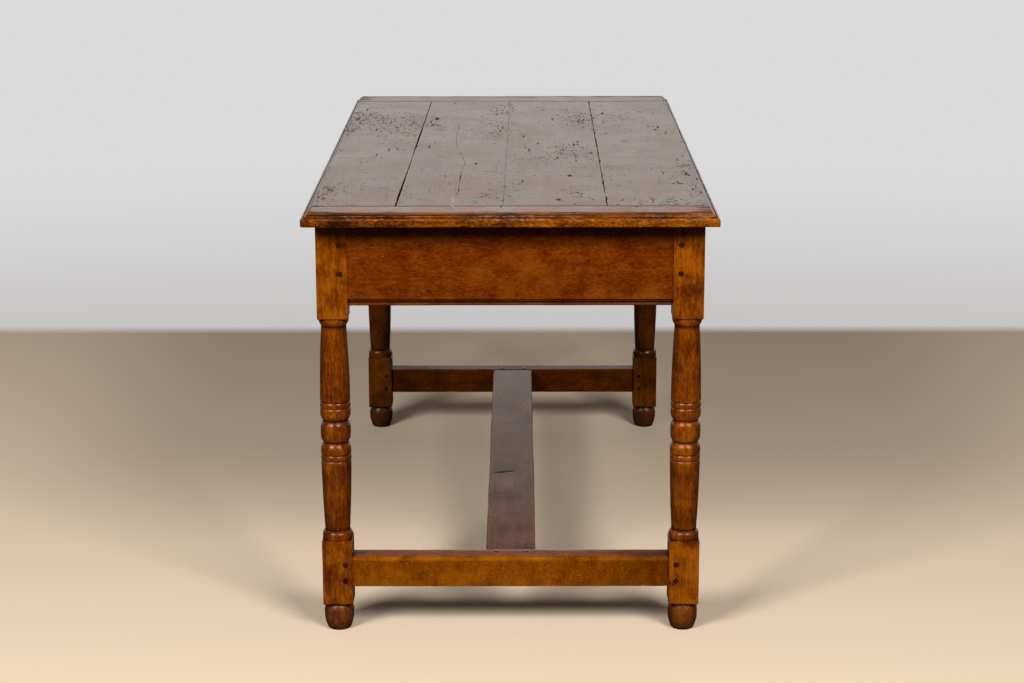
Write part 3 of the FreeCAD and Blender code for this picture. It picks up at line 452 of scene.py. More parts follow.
@dataclass(frozen=True)
class WaxedWood:
    """Old close-grained fruitwood, planed by hand, stained, and waxed for a century.

    To the eye that is a warm colour that lives in patches, fine streaks along the fibres, dark pores, grime
    in the quirks and a soft sheen on top. The real streaks are about 1 mm wide and the pores 0.1 to 0.3 mm,
    and one pixel of the render is 1.7 mm at the front of the table, so both are drawn as coarse as they need
    to show.

    Attributes:
        name: The material's name.
        grain: The axis of the fibres.
        dark: The wood's darkest tone.
        middle: Its common tone.
        light: Its lightest tone.
        pore: Colour of the pores.
        rubbed: Colour where hands, feet and cloths have rubbed the stain thin.
        grime_and_shade: Colour of the dirt in quirks and pits, and of painted shade.
        bare_and_painted_light: Colour of chips, filler, and painted glints, highlights and floor light.
        speck: Colour of the specks of old wax.
        streak_mm: Size of the streaks across and along the fibres.
        figure_mm: Size of the broad figure across and along the fibres.
        tone_shares: How much streaks, figure and patches each move the tone.
        pore_mm: Size of the pores across and along the fibres.
        patch_mm: Size of the patches.
        speck_mm: Distance between specks.
        speck_size: Size of a speck as a share of that distance.
        pore_share: How dark the pores are.
        rubbed_share: How much of the rubbed colour shows.
        tick_mm: Sizes of the fine worm marks across and along the fibres.
        cross_mm: Size of the waves that a plane left across the fibres, if it did.
        roughness: Lowest and highest roughness of the wax.
        relief_mm: Height of the grain that can be felt.
        ior: Strength of the sheen.
    """

    name: str
    grain: Grain
    dark: str
    middle: str
    light: str
    pore: str = "#1E0B02"
    rubbed: str = "#9A5418"
    grime_and_shade: str = "#120704"
    bare_and_painted_light: str = "#A98C78"
    speck: str = "#A0806C"
    streak_mm: tuple[float, float] = (2.2, 55.0)
    figure_mm: tuple[float, float] = (13.0, 190.0)
    tone_shares: tuple[float, float, float] = (0.34, 0.34, 0.32)
    pore_mm: tuple[float, float] = (1.7, 9.0)
    patch_mm: float = 60.0
    speck_mm: float = 15.0
    speck_size: float = 0.05
    pore_share: float = 0.5
    rubbed_share: float = 0.5
    tick_mm: tuple[tuple[float, float], ...] = ()
    cross_mm: tuple[float, float] | None = None
    roughness: tuple[float, float] = (0.20, 0.30)
    relief_mm: float = 0.10
    ior: float = 1.42

    def build(self) -> Material:
        """Makes the material, its colour laid on in coats, each over the last where its mask is high.

        Returns:
            The Blender material.
        """
        material, tree = new_material(self.name)
        place = add_node(tree, "ShaderNodeTexCoord").outputs["Object"]
        marks = {
            mark: add_node(tree, "ShaderNodeAttribute", {"attribute_name": mark}).outputs["Fac"]
            for mark in MARKS
        }
        streak = self.pattern(tree, place, self.streak_mm, 3.0)
        figure = self.pattern(tree, place, self.figure_mm, 2.0)
        patch = self.pattern(tree, place, (self.patch_mm, self.patch_mm), 3.0)
        pores = self.pattern(tree, place, self.pore_mm, 1.0)
        masks = self.masks(tree, place, marks, patch, pores)
        thinned = {0: marks["polish"], 1: masks["rubbed"]}
        rubbed = add_node(tree, "ShaderNodeMath", {"operation": "MULTIPLY"}, thinned).outputs[0]
        tone = self.sum_of(tree, [*zip((streak, figure, patch), self.tone_shares), (rubbed, 0.14)])
        relief = self.sum_of(tree, [(streak, 0.5), (masks["pores"], -0.5)])
        if self.cross_mm:
            relief = self.sum_of(tree, [(relief, 1.0), (self.pattern(tree, place, self.cross_mm, 2.0), 0.5)])
        grime_and_shade = masks["grime_and_shade"]
        for ticks in self.ticks(tree, place, marks["pitted"]):
            relief = self.sum_of(tree, [(relief, 1.0), (ticks, -2.0)])
            both = {0: grime_and_shade, 1: ticks}
            grime_and_shade = add_node(tree, "ShaderNodeMath", {"operation": "MAXIMUM"}, both).outputs[0]
        ramp = add_node(tree, "ShaderNodeValToRGB", inputs={"Fac": tone})
        set_ramp(ramp, [(0.39, linear(self.dark)), (0.50, linear(self.middle)), (0.61, linear(self.light))])
        colour = ramp.outputs["Color"]
        coats = (
            (masks["pores"], self.pore),
            (masks["specks"], self.speck),
            (rubbed, self.rubbed),
            # Pale coat: bare wood, and painted light where the marks ask for it
            (marks["bare_and_painted_light"], self.bare_and_painted_light),
            # Darkest coat: grime, and painted shade where the marks ask for it
            (grime_and_shade, self.grime_and_shade),
        )
        for share, coat in coats:
            layers = {SHARE: share, UNDER: colour, OVER: linear(coat)}
            colour = add_node(tree, "ShaderNodeMix", {"data_type": "RGBA"}, layers).outputs[MIXED]
        bump_inputs = {"Strength": 1.0, "Distance": self.relief_mm * METRES, "Height": relief}
        shader_inputs = {
            "Base Color": colour,
            "Roughness": self.sum_of(tree, [(masks["dull"], 1.0), (grime_and_shade, 0.3)], self.roughness[0]),
            "Specular IOR Level": self.sum_of(tree, [(grime_and_shade, -0.5), (marks["waxed"], 0.6)], 0.5),
            "Normal": add_node(tree, "ShaderNodeBump", inputs=bump_inputs).outputs["Normal"],
            "IOR": self.ior,
        }
        shader = add_node(tree, "ShaderNodeBsdfPrincipled", inputs=shader_inputs)
        add_node(tree, "ShaderNodeOutputMaterial", inputs={"Surface": shader.outputs[0]})
        return material

    def masks(
        self, tree: Tree, place: Socket, marks: dict[str, Socket], patch: Socket, pores: Socket
    ) -> dict[str, Socket]:
        """Where each coat of the wood shows.

        Formula: straight rises. Specks are where the middle of a random cell is near.

        Args:
            tree: The node tree.
            place: Socket of the coordinates.
            marks: Sockets of the mesh's marks.
            patch: Socket of the patches.
            pores: Socket of the pores' pattern.

        Returns:
            Sockets of rubbed wood, pores, grime and painted shade, specks and the wax's extra roughness.
        """
        spacing = 1 / (self.speck_mm * METRES)
        cells = add_node(tree, "ShaderNodeTexVoronoi", inputs={"Vector": place, "Scale": spacing})
        speck_span = (self.speck_size * 1.6, self.speck_size * 0.6)
        spans = {
            "rubbed": (patch, (0.3, 0.6), (0.0, self.rubbed_share)),
            "pores": (pores, (0.57, 0.67), (0.0, self.pore_share)),
            "specks": (cells.outputs["Distance"], speck_span, (0.0, 0.55)),
            "grime_and_shade": (marks["dirt_and_shade"], (0.05, 0.9), (0.0, 0.92)),
            "dull": (patch, (0.35, 0.65), (0.0, self.roughness[1] - self.roughness[0])),
        }
        return {
            name: add_node(tree, "ShaderNodeMapRange", inputs=crossing(*span)).outputs[0]
            for name, span in spans.items()
        }

    def ticks(self, tree: Tree, place: Socket, pitted: Socket) -> list[Socket]:
        """Fine worm marks: the tops of patterns drawn out along the fibres, more where the share is high.

        Args:
            tree: The node tree.
            place: Socket of the coordinates.
            pitted: Socket of how closely the marks stand.

        Returns:
            One mask for each of their sizes.
        """
        masks = []
        for size in self.tick_mm:
            closer = self.sum_of(tree, [(self.pattern(tree, place, size, 1.5), 1.0), (pitted, 0.22)])
            tops = crossing(closer, (0.665, 0.80), (0.0, 0.62))
            masks.append(add_node(tree, "ShaderNodeMapRange", inputs=tops).outputs[0])
        return masks

    def pattern(self, tree: Tree, place: Socket, size: tuple[float, float], detail: float) -> Socket:
        """Random pattern whose cells are drawn out along the fibres.

        Args:
            tree: The node tree.
            place: Socket of the coordinates.
            size: Size of a cell in mm across and along the fibres.
            detail: Finer layers on top of the first.

        Returns:
            The pattern's socket, 0.5 on average.
        """
        across, along = (1 / (length * METRES) for length in size)
        scale = tuple(along if axis == self.grain.value else across for axis in range(3))
        moved = add_node(tree, "ShaderNodeMapping", inputs={"Vector": place, "Scale": scale}).outputs[0]
        cells = {"Vector": moved, "Scale": 1.0, "Detail": detail, "Roughness": 0.6}
        return add_node(tree, "ShaderNodeTexNoise", inputs=cells).outputs[0]

    def sum_of(self, tree: Tree, parts: Sequence[tuple[Socket, float]], start: float = 0.0) -> Socket:
        """Sum of values, each times its share.

        Args:
            tree: The node tree.
            parts: Socket and share of each value.
            start: What the sum starts with.

        Returns:
            The sum's socket.
        """
        total = start
        for value, share in parts:
            terms = {0: value, 1: share, 2: total}
            total = add_node(tree, "ShaderNodeMath", {"operation": "MULTIPLY_ADD"}, terms).outputs[0]
        return total


@dataclass(frozen=True)
class DullSteel:
    """Steel of an old wood screw, cut and left to dull: grey to the eye, with tarnish in darker patches."""

    name: str = "dull_steel"
    clean: str = "#8C8781"
    tarnished: str = "#4A443E"
    patch_mm: float = 3.0
    roughness: float = 0.42

    def build(self) -> Material:
        """Makes the material.

        Returns:
            The Blender material.
        """
        material, tree = new_material(self.name)
        place = add_node(tree, "ShaderNodeTexCoord").outputs["Object"]
        patches = {"Vector": place, "Scale": 1 / (self.patch_mm * METRES), "Detail": 3.0}
        patch = add_node(tree, "ShaderNodeTexNoise", inputs=patches).outputs[0]
        ramp = add_node(tree, "ShaderNodeValToRGB", inputs={"Fac": patch})
        set_ramp(ramp, [(0.40, linear(self.tarnished)), (0.60, linear(self.clean))])
        metal = {"Base Color": ramp.outputs["Color"], "Metallic": 1.0, "Roughness": self.roughness}
        shader = add_node(tree, "ShaderNodeBsdfPrincipled", inputs=metal)
        add_node(tree, "ShaderNodeOutputMaterial", inputs={"Surface": shader.outputs[0]})
        return material


# Fruitwood of the legs, turned and waxed: golden brown blocks, close upright streaks, the brightest sheen
LEG_WOOD = WaxedWood(
    "waxed_wood_upright",
    Grain.UPRIGHT,
    "#461A01",
    "#6C2E01",
    "#984E02",
    rubbed="#A85A02",
    rubbed_share=0.42,
    streak_mm=(1.4, 9.0),
    figure_mm=(5.0, 44.0),
    tone_shares=(0.40, 0.30, 0.30),
    patch_mm=40.0,
    pore_mm=(1.3, 6.0),
    pore_share=0.4,
    speck_size=0.015,
    roughness=(0.19, 0.28),
    ior=1.48,
)
# The same wood on the far legs, darker all over: painted shade of the far side of the table
SHADED_LEG_WOOD = replace(
    LEG_WOOD, name="painted_shade_waxed_wood_upright", dark="#341401", middle="#502301", light="#6C3802"
)
# Fruitwood of the end aprons, planed and waxed: red brown, mottled more than streaked, with specks of wax
APRON_WOOD = WaxedWood(
    "waxed_wood_across",
    Grain.ACROSS,
    "#4E1A01",
    "#692A01",
    "#7E3C02",
    streak_mm=(2.2, 7.5),
    figure_mm=(12.0, 44.0),
    tone_shares=(0.48, 0.26, 0.26),
    pore_mm=(2.2, 5.0),
    patch_mm=38.0,
    pore_share=0.3,
    speck_mm=11.0,
    speck_size=0.06,
    ior=1.36,
)
# The long aprons' board is the same, its fibres along the table
SIDE_APRON_WOOD = replace(APRON_WOOD, name="waxed_wood_along", grain=Grain.ALONG)
# The front stretcher, rubbed by feet: golden brown, its arrises nearly orange, hardly any sheen on its face
STRETCHER_WOOD = replace(
    APRON_WOOD,
    name="waxed_wood_low",
    dark="#5E2A01",
    middle="#7E3F02",
    light="#985203",
    rubbed="#B4660C",
    streak_mm=(2.8, 3.6),
    figure_mm=(24.0, 16.0),
    tone_shares=(0.46, 0.28, 0.26),
    patch_mm=50.0,
    pore_share=0.25,
    speck_mm=15.0,
    speck_size=0.05,
    ior=1.26,
)
# The far stretcher, little rubbed: dark brown as painted shade of the far side, and nearly matt
SHADED_STRETCHER_WOOD = replace(
    APRON_WOOD,
    name="painted_shade_waxed_wood_low",
    dark="#401801",
    middle="#522301",
    light="#623001",
    rubbed="#6C3C10",
    ior=1.14,
)
# The medial stretcher, scrubbed and polished flat by feet: dull red brown, smooth, long streaks
MEDIAL_WOOD = WaxedWood(
    "waxed_wood_long",
    Grain.ALONG,
    "#40200E",
    "#5A2C10",
    "#6E3A14",
    pore_share=0.3,
    speck_size=0.02,
    relief_mm=0.05,
    ior=1.23,
)
# Boards of the top, planed across and worn: dark brown under grey satin wax, pricked all over by worm
BOARD_WOOD = WaxedWood(
    "worn_board",
    Grain.ALONG,
    "#2E211B",
    "#4A2A18",
    "#5E3520",
    rubbed="#7A4210",
    patch_mm=80.0,
    tick_mm=((4.2, 36.0), (9.0, 12.0)),
    cross_mm=(46.0, 3.4),
    roughness=(0.29, 0.33),
    ior=1.8,
    speck_size=0.02,
)
# The far breadboard end is the same board turned across, its moulding rubbed to a plainer brown
FAR_BREADBOARD_WOOD = replace(BOARD_WOOD, name="worn_breadboard_far", grain=Grain.ACROSS, rubbed="#8C4A04")
# The front breadboard end, handled most: near black to bright orange brown, with painted grey glints on its
# edge
BREADBOARD_WOOD = WaxedWood(
    "worn_breadboard",
    Grain.ACROSS,
    "#230A01",
    "#5E2A02",
    "#A65602",
    rubbed="#B26402",
    rubbed_share=0.45,
    # Grey of the painted glints and highlight on the moulding
    bare_and_painted_light="#8E8A86",
    speck="#A8A09C",
    streak_mm=(2.6, 6.5),
    figure_mm=(5.0, 50.0),
    tone_shares=(0.50, 0.25, 0.25),
    pore_mm=(2.4, 5.0),
    speck_mm=22.0,
    speck_size=0.04,
    tick_mm=((3.0, 14.0),),
    roughness=(0.26, 0.32),
    relief_mm=0.05,
    ior=1.31,
)
# Riven oak of the pegs, whittled: end grain that has soaked up stain and dirt, so nearly black
PEG_WOOD = WaxedWood(
    "oak_peg", Grain.UPRIGHT, "#160904", "#261108", "#3A1E10", rubbed="#4C2814", streak_mm=(1.2, 3.0)
)
# Sawn beech of the buttons under the top: pale, dry and without wax
BUTTON_WOOD = WaxedWood("plain_hardwood", Grain.ALONG, "#6E5034", "#8A6844", "#A07E56", roughness=(0.55, 0.7))


# Legs


@dataclass
class Leg:
    """Leg turned from one square length: two blocks, a shaft with a drum between grooves, and a ball foot.

    Attributes:
        name: The CAD node's name.
        across: X of its middle.
        along: Y of its middle.
        half: Half the width of its blocks.
        block_spans: Bottom and top of the lower and the upper block.
        row_steps: Distance between rows on the foot, the shaft and the blocks.
        corner_columns: Columns from one corner to the next.
        arris_steps: How many of them lie round the arris.
        arris: Radius of the arrises where they are least worn.
        shoulder: How far a block's ends are rounded in.
        rubbed_blocks: How much the lower and the upper block are rubbed.
        rubbed_shaft: How much the shaft is rubbed in front and behind.
        painted_side_shade: Painted shade on the left and the right of the turned rows, how dark each side is.
        foot: The foot's profile from the floor up: radius, height and bulge.
        shaft: The shaft's profile, the same way.
    """

    name: str
    across: float
    along: float
    half: float = 26.5
    block_spans: tuple[tuple[float, float], tuple[float, float]] = ((50.0, 168.0), (568.0, 738.0))
    row_steps: tuple[float, float, float] = (1.6, 2.6, 3.5)
    corner_columns: int = 27
    arris_steps: int = 7
    arris: float = 1.6
    shoulder: float = 0.9
    rubbed_blocks: tuple[float, float] = (0.3, 0.5)
    rubbed_shaft: float = 0.1
    painted_side_shade: tuple[float, float] = (0.28, 0.24)
    foot: tuple[Corner, ...] = (
        (18.55, 0.0), (20.27, 1.5, 0.56), (25.6, 19.0, 0.16), (26.29, 32.0, 1.38), (20.99, 48.25),
        (20.99, 50.0),
    )
    shaft: tuple[Corner, ...] = (
        (26.39, 168.0), (26.34, 175.0, 1.17), (21.84, 184.0), (22.0, 185.2, 0.65), (26.34, 308.9, 0.14),
        (24.95, 312.4), (25.0, 312.9), (26.34, 314.0), (26.39, 319.3, 0.14), (24.95, 322.8), (25.0, 323.3),
        (26.39, 324.6), (26.39, 331.0, 1.17), (21.81, 343.5), (21.81, 345.0, 0.9), (25.89, 353.0, 0.48),
        (25.89, 372.5, 0.9), (21.81, 382.5), (21.81, 384.5, 1.19), (26.39, 396.0), (26.39, 403.9, 0.14),
        (24.95, 407.4), (25.0, 407.9), (26.39, 409.0), (26.39, 414.3, 0.14), (24.95, 417.8), (25.0, 418.3),
        (26.34, 419.8, 0.86), (21.81, 552.0), (21.81, 553.6, 1.19), (26.34, 566.0), (26.39, 568.0),
    )

    def rows(self) -> tuple[Points, Points, Points]:
        """Rows of the leg from the floor up.

        Returns:
            Half width or radius, height, and squareness (1 for a block, 0 for turned) of each row.
        """
        foot_step, shaft_step, block_step = self.row_steps
        foot = trace(self.foot, foot_step)
        shaft = trace(self.shaft, shaft_step)
        parts = [np.column_stack([foot, np.zeros(len(foot))])]
        for (bottom, top), turning in zip(self.block_spans, (shaft, None)):
            count = round((top - bottom) / block_step)
            heights = np.linspace(bottom + self.shoulder, top - self.shoulder, count)
            full = np.column_stack([np.full_like(heights, self.half), heights, np.ones_like(heights)])
            ends = [[self.half - self.shoulder, height, 1.0] for height in (bottom, top)]
            parts += [np.array([ends[0]]), full, np.array([ends[1]])]
            if turning is not None:
                parts.append(np.column_stack([turning, np.zeros(len(turning))]))
        rows = np.concatenate(parts)
        return rows[:, 0], rows[:, 1], rows[:, 2]

    def build(self, finish: Material) -> bpy.types.Object:
        """Makes the leg's mesh.

        Formula: a turned row's point is the row's radius times the direction of the same point on the plain
        block. All points are then pushed a little along that direction by two random fields.

        Args:
            finish: Its material.

        Returns:
            The leg.
        """
        radius, height, square = (values[:, None] for values in self.rows())
        steps, columns = self.arris_steps, self.corner_columns
        corner = np.repeat(np.arange(4), columns)
        within = np.tile(np.arange(columns), 4)
        angle = corner * math.pi / 2 + np.minimum(within, steps) / steps * math.pi / 2 - math.pi / 2
        run = np.clip((within - steps) / (columns - steps), 0, None)
        across, along = np.full_like(height, self.across), np.full_like(height, self.along)
        middle = np.stack([across, along, height], axis=-1)
        ripple = np.abs(waver(middle, (40, 40, 16), 5))
        soft = self.arris + 1.1 * ripple * np.ones_like(angle)
        blocks = self.square_points(corner, angle, run, radius, soft)
        plain = self.square_points(corner, angle, run, self.half, np.full((1, len(corner)), self.arris))
        direction = plain / np.linalg.norm(plain, axis=-1, keepdims=True)
        flat = np.where(square[..., None] > 0.5, blocks, radius[..., None] * direction)
        points = np.concatenate([flat, np.broadcast_to(height[..., None], (*flat.shape[:2], 1))], axis=-1)
        points[..., 0] += self.across
        points[..., 1] += self.along
        push = 0.16 * waver(points, (26, 26, 40), 11) + 0.10 * waver(points, (7, 7, 12), 12)
        top = self.block_spans[1][1]
        still = fade(height, 0.0, 4.0) * (1 - fade(height, top - 4.0, top))
        points[..., :2] += direction * (push * still)[..., None]
        marks = self.marks(points, radius, height, square, within)
        return make_piece(self.name, [Skin(points, marks)], finish)

    def square_points(
        self, corner: Points, angle: Points, run: Points, half: Points | float, soft: Points
    ) -> Points:
        """Points of square rows.

        Formula: the centre of the corner's arris circle, plus the arris radius times the unit vector of the
        angle. Between two corners, the centre moves evenly from one to the next.

        Args:
            corner: Number of the corner at each column, anticlockwise.
            angle: Angle of each column in radians.
            run: Share of the way to the next corner at each column.
            half: Half width of each row.
            soft: Arris radius at each row and column.

        Returns:
            X and Y from the leg's middle, for each row and column.
        """
        signs = np.array([[1, -1], [1, 1], [-1, 1], [-1, -1]], float)
        near = (half - soft)[..., None]
        start, after = near * signs[corner % 4], near * signs[(corner + 1) % 4]
        unit = np.stack([np.cos(angle), np.sin(angle)], axis=-1)
        return start + (after - start) * run[:, None] + soft[..., None] * unit

    def marks(
        self, points: Points, radius: Points, height: Points, square: Points, within: Points
    ) -> dict[str, Points]:
        """Where grime, painted shade, rubbing and painted floor light show.

        Formula: grime and painted shade is how far the radius is below its mean over about 10 mm of height,
        less where the profile faces up to the light. Grime is full on the shoulders, painted shadow of the
        tabletop is full at the top, and painted shade lies a little on the left and right of the turned rows.
        It is darker low on the shaft and on the foot. Rubbing is how far the radius is above that mean, or
        the nearness to a block's arris, or what the block or the shaft has all over. The foot is a little
        paler, with painted light bounced from the floor.

        Args:
            points: The leg's points.
            radius: Radius of each row.
            height: Height of each row.
            square: Squareness of each row.
            within: Number of each column between two corners.

        Returns:
            The marks.
        """
        (foot_top, lower_top), (upper_bottom, top) = self.block_spans
        levels, profile = height[:, 0], radius[:, 0]
        steps = np.gradient(levels)
        weights = np.exp(-(((levels[:, None] - levels[None, :]) / 5.0) ** 2)) * steps[None, :].clip(0.01)
        mean = (weights @ profile) / weights.sum(axis=1)
        # Grime and painted shade in the hollows of the turning, less where they face up to the light
        facing_up = np.clip(-2.0 * np.gradient(profile) / steps.clip(0.05), 0, 1)
        low = (np.clip((mean - profile) / 0.6, 0, 1) * (1 - 0.75 * facing_up))[:, None]
        high = np.clip((profile - mean) / 1.5, 0, 1)[:, None]
        turned_row = 1 - square
        arris_middle = self.arris_steps / 2
        distance = np.abs(within - arris_middle)
        distance = np.minimum(distance, self.corner_columns - distance)
        edge = np.exp(-((distance / 3.2) ** 2))[None, :] * square
        patch = 0.5 + 0.5 * waver(points, (30, 30, 45), 21)
        joins = ((lower_top, 0.8), (upper_bottom, 0.8), (foot_top, 1.2))
        shoulder = sum(bump(height, level, reach) for level, reach in joins)
        shoulder = shoulder * (0.4 + 0.5 * patch)
        shoulder = shoulder + 0.8 * patch * edge * bump(height, lower_top - 2.0, 3.0)
        aside = points[..., 0] - self.across
        aside = aside / np.hypot(aside, points[..., 1] - self.along)
        # Painted shade on the left and right sides of the turned rows, and darker low on the shaft
        dim = np.where(aside < 0, *self.painted_side_shade) * fade(np.abs(aside), 0.62, 1.0)
        dim = dim + 0.16 * fade(height, 330.0, 280.0)
        dirt_and_shade = low * turned_row * (0.6 + 0.4 * patch) + shoulder
        dirt_and_shade = dirt_and_shade + 0.3 * patch * fade(height, foot_top, foot_top - 6.0)
        dirt_and_shade = dirt_and_shade + turned_row * dim
        # Painted shadow of the tabletop at the top of the leg
        dirt_and_shade = np.maximum(dirt_and_shade, fade(height, top - 5.0, top) * 0.8)
        block = np.where(height < upper_bottom, *self.rubbed_blocks) * square
        polish = high * turned_row * 0.25 + np.maximum(edge * patch, block * (0.5 + patch))
        polish = polish + self.rubbed_shaft * turned_row * fade(np.abs(aside), 0.9, 0.3) * (0.5 + patch)
        # Painted light bounced from the pale floor onto the foot, laid on with the pale coat
        painted_floor_light = 0.035 * fade(height, foot_top, foot_top - 4.0)
        return {"dirt_and_shade": dirt_and_shade, "polish": polish, "bare_and_painted_light": painted_floor_light}


# Rails


@dataclass
class Rail:
    """Rail drawn for the front, its face to -Y: a section carried along X.

    Attributes:
        name: The CAD node's name.
        side: Where the rail goes.
        face: Distance of its face from the table's middle.
        bottom: Height of the section's zero above the floor.
        half_length: Half its length between the shoulders.
        section: The section's corners: distance behind the face, height and bulge.
        end_gaps: How far it falls short of its left and its right shoulder.
        sag: Depth of the slow waves in its faces.
        arris_wear: How far its arrises are worn.
        wear_reach: How far from an arris that wear reaches.
        rubbed_face: How much its faces are rubbed.
        step: Distance between places along it.
        grime_and_shade_lines: Grime and painted shade along it: distance behind the face, height, reach,
            strength.
        stains: Dark spots: place along, height, and reach along and up.
        darker: Dark stretches: place along, reach and strength.
        scars: Cuts across the upper face: place along, distance behind, slant, width, reach and strength.
        scar_depth: How deep a cut of full strength is.
        seed: Number that gives it fields of its own.
    """

    name: str
    side: Side
    face: float
    bottom: float
    half_length: float
    section: tuple[Corner, ...]
    end_gaps: tuple[float, float] = (0.0, 0.0)
    sag: float = 0.25
    arris_wear: float = 0.6
    wear_reach: float = 2.5
    rubbed_face: float = 0.35
    step: float = 4.0
    grime_and_shade_lines: tuple[tuple[float, float, float, float], ...] = ()
    stains: tuple[tuple[float, float, float, float], ...] = ()
    darker: tuple[tuple[float, float, float], ...] = ()
    scars: tuple[tuple[float, float, float, float, float, float], ...] = ()
    scar_depth: float = 0.4
    seed: int = 0

    def build(self, finish: Material) -> bpy.types.Object:
        """Makes the rail's mesh.

        Formula: the section's points at each place along the rail, moved inward along their normals by the
        wear, and down where a scar is.

        Args:
            finish: Its material.

        Returns:
            The rail.
        """
        loop = trace(self.section, 2.2, closed=True)
        area = np.sum(loop[:, 0] * np.roll(loop[:, 1], -1) - np.roll(loop[:, 0], -1) * loop[:, 1])
        if area < 0:
            loop = loop[::-1]
        edge = arris_weight(loop, self.wear_reach)
        start, stop = self.end_gaps[0] - self.half_length, self.half_length - self.end_gaps[1]
        places = np.linspace(start, stop, round(2 * self.half_length / self.step))[:, None]
        grid = np.broadcast_arrays(places, loop[:, 0] - self.face, loop[:, 1] + self.bottom)
        points = np.stack(grid, axis=-1)
        sample = points + np.array([0.0, 0.0, self.seed * 317.0])
        points[..., 1:] -= loop_normals(loop) * self.wear(sample, edge)[..., None]
        cuts = [self.cut(scar, places, loop, sample) for scar in self.scars]
        for cut in cuts:
            points[..., 2] -= self.scar_depth * cut
        marks = self.marks(places, loop, sample, edge, cuts)
        return make_piece(self.name, [Skin(turned(points, self.side), marks)], finish)

    def wear(self, sample: Points, edge: Points) -> Points:
        """How far the surface is worn inward.

        Formula: a slow wave, a wear of the arrises that is never nothing, and nicks where a finer field is
        high.

        Args:
            sample: Places in the random fields.
            edge: Nearness of each of the section's points to an arris.

        Returns:
            Depth in mm at each point.
        """
        slow = self.sag * waver(sample, (90, 40, 50), 31 + self.seed)
        uneven = 0.35 + 0.65 * np.abs(waver(sample, (34, 30, 30), 41 + self.seed))
        nicks = 1.3 * edge * fade(waver(sample, (9, 14, 14), 51 + self.seed), 0.55, 0.95)
        return slow * (1 - 0.5 * edge) + self.arris_wear * edge * uneven + nicks * self.arris_wear

    def cut(self, scar: tuple[float, ...], places: Points, loop: Points, sample: Points) -> Points:
        """One scar of the upper face.

        Formula: e to the minus square of the distance from the scar's line in its widths, and minus the
        fourth power of the distance from its middle in its reaches.

        Args:
            scar: Place along, distance behind the face, slant, width, reach and strength.
            places: Places along the rail.
            loop: The section's points.
            sample: Places in the random fields.

        Returns:
            Strength of the cut at each point.
        """
        place, behind, slant, width, reach, strength = scar
        aside = loop[:, 0] - behind
        near = np.exp(-(((places - place - slant * aside) / width) ** 2) - (aside / reach) ** 4)
        upper = loop[:, 1] > loop[:, 1].max() - 0.5
        return strength * (near * upper) * (0.85 + 0.4 * waver(sample, (9, 9, 9), 66))

    def marks(
        self, places: Points, loop: Points, sample: Points, edge: Points, cuts: Sequence[Points]
    ) -> dict[str, Points]:
        """Where grime, painted shade and rubbing show.

        Formula: the dark mark is the sum of bells round each line of grime and painted shade, each stain and
        dark stretch, the scars, and an uneven line at both shoulders. Rubbing is the nearness to an arris, or
        the face's own where a slow field is high.

        Args:
            places: Places along the rail.
            loop: The section's points.
            sample: Places in the random fields.
            edge: Nearness of each of the section's points to an arris.
            cuts: Strength of each scar.

        Returns:
            The marks.
        """
        dirt_and_shade = np.zeros(sample.shape[:2])
        for behind, up, reach, strength in self.grime_and_shade_lines:
            dirt_and_shade += strength * bump(np.hypot(loop[:, 0] - behind, loop[:, 1] - up), 0.0, reach)
        for place, up, reach_along, reach_up in self.stains:
            near = ((places - place) / reach_along) ** 2 + ((loop[:, 1] - up) / reach_up) ** 2
            dirt_and_shade += 0.75 * np.exp(-near) * (0.5 + 0.5 * waver(sample, (7, 7, 4), 65))
        for cut in cuts:
            dirt_and_shade += cut
        ends = np.minimum(places + self.half_length, self.half_length - places)
        uneven = 0.5 + 0.5 * waver(sample, (20, 9, 9), 61 + self.seed)
        dirt_and_shade += 0.65 * np.exp(-((ends / 3.0) ** 2)) * uneven
        patch = 0.5 + 0.5 * waver(sample, (45, 20, 20), 71 + self.seed)
        for place, reach, strength in self.darker:
            dirt_and_shade += strength * bump(places, place, reach) * (0.6 + 0.8 * patch)
        rubbed = fade(waver(sample, (170, 60, 60), 75 + self.seed), -0.2, 0.6)
        polish = np.maximum(edge * (0.25 + 0.75 * patch), self.rubbed_face * rubbed)
        return {"dirt_and_shade": dirt_and_shade, "polish": polish}


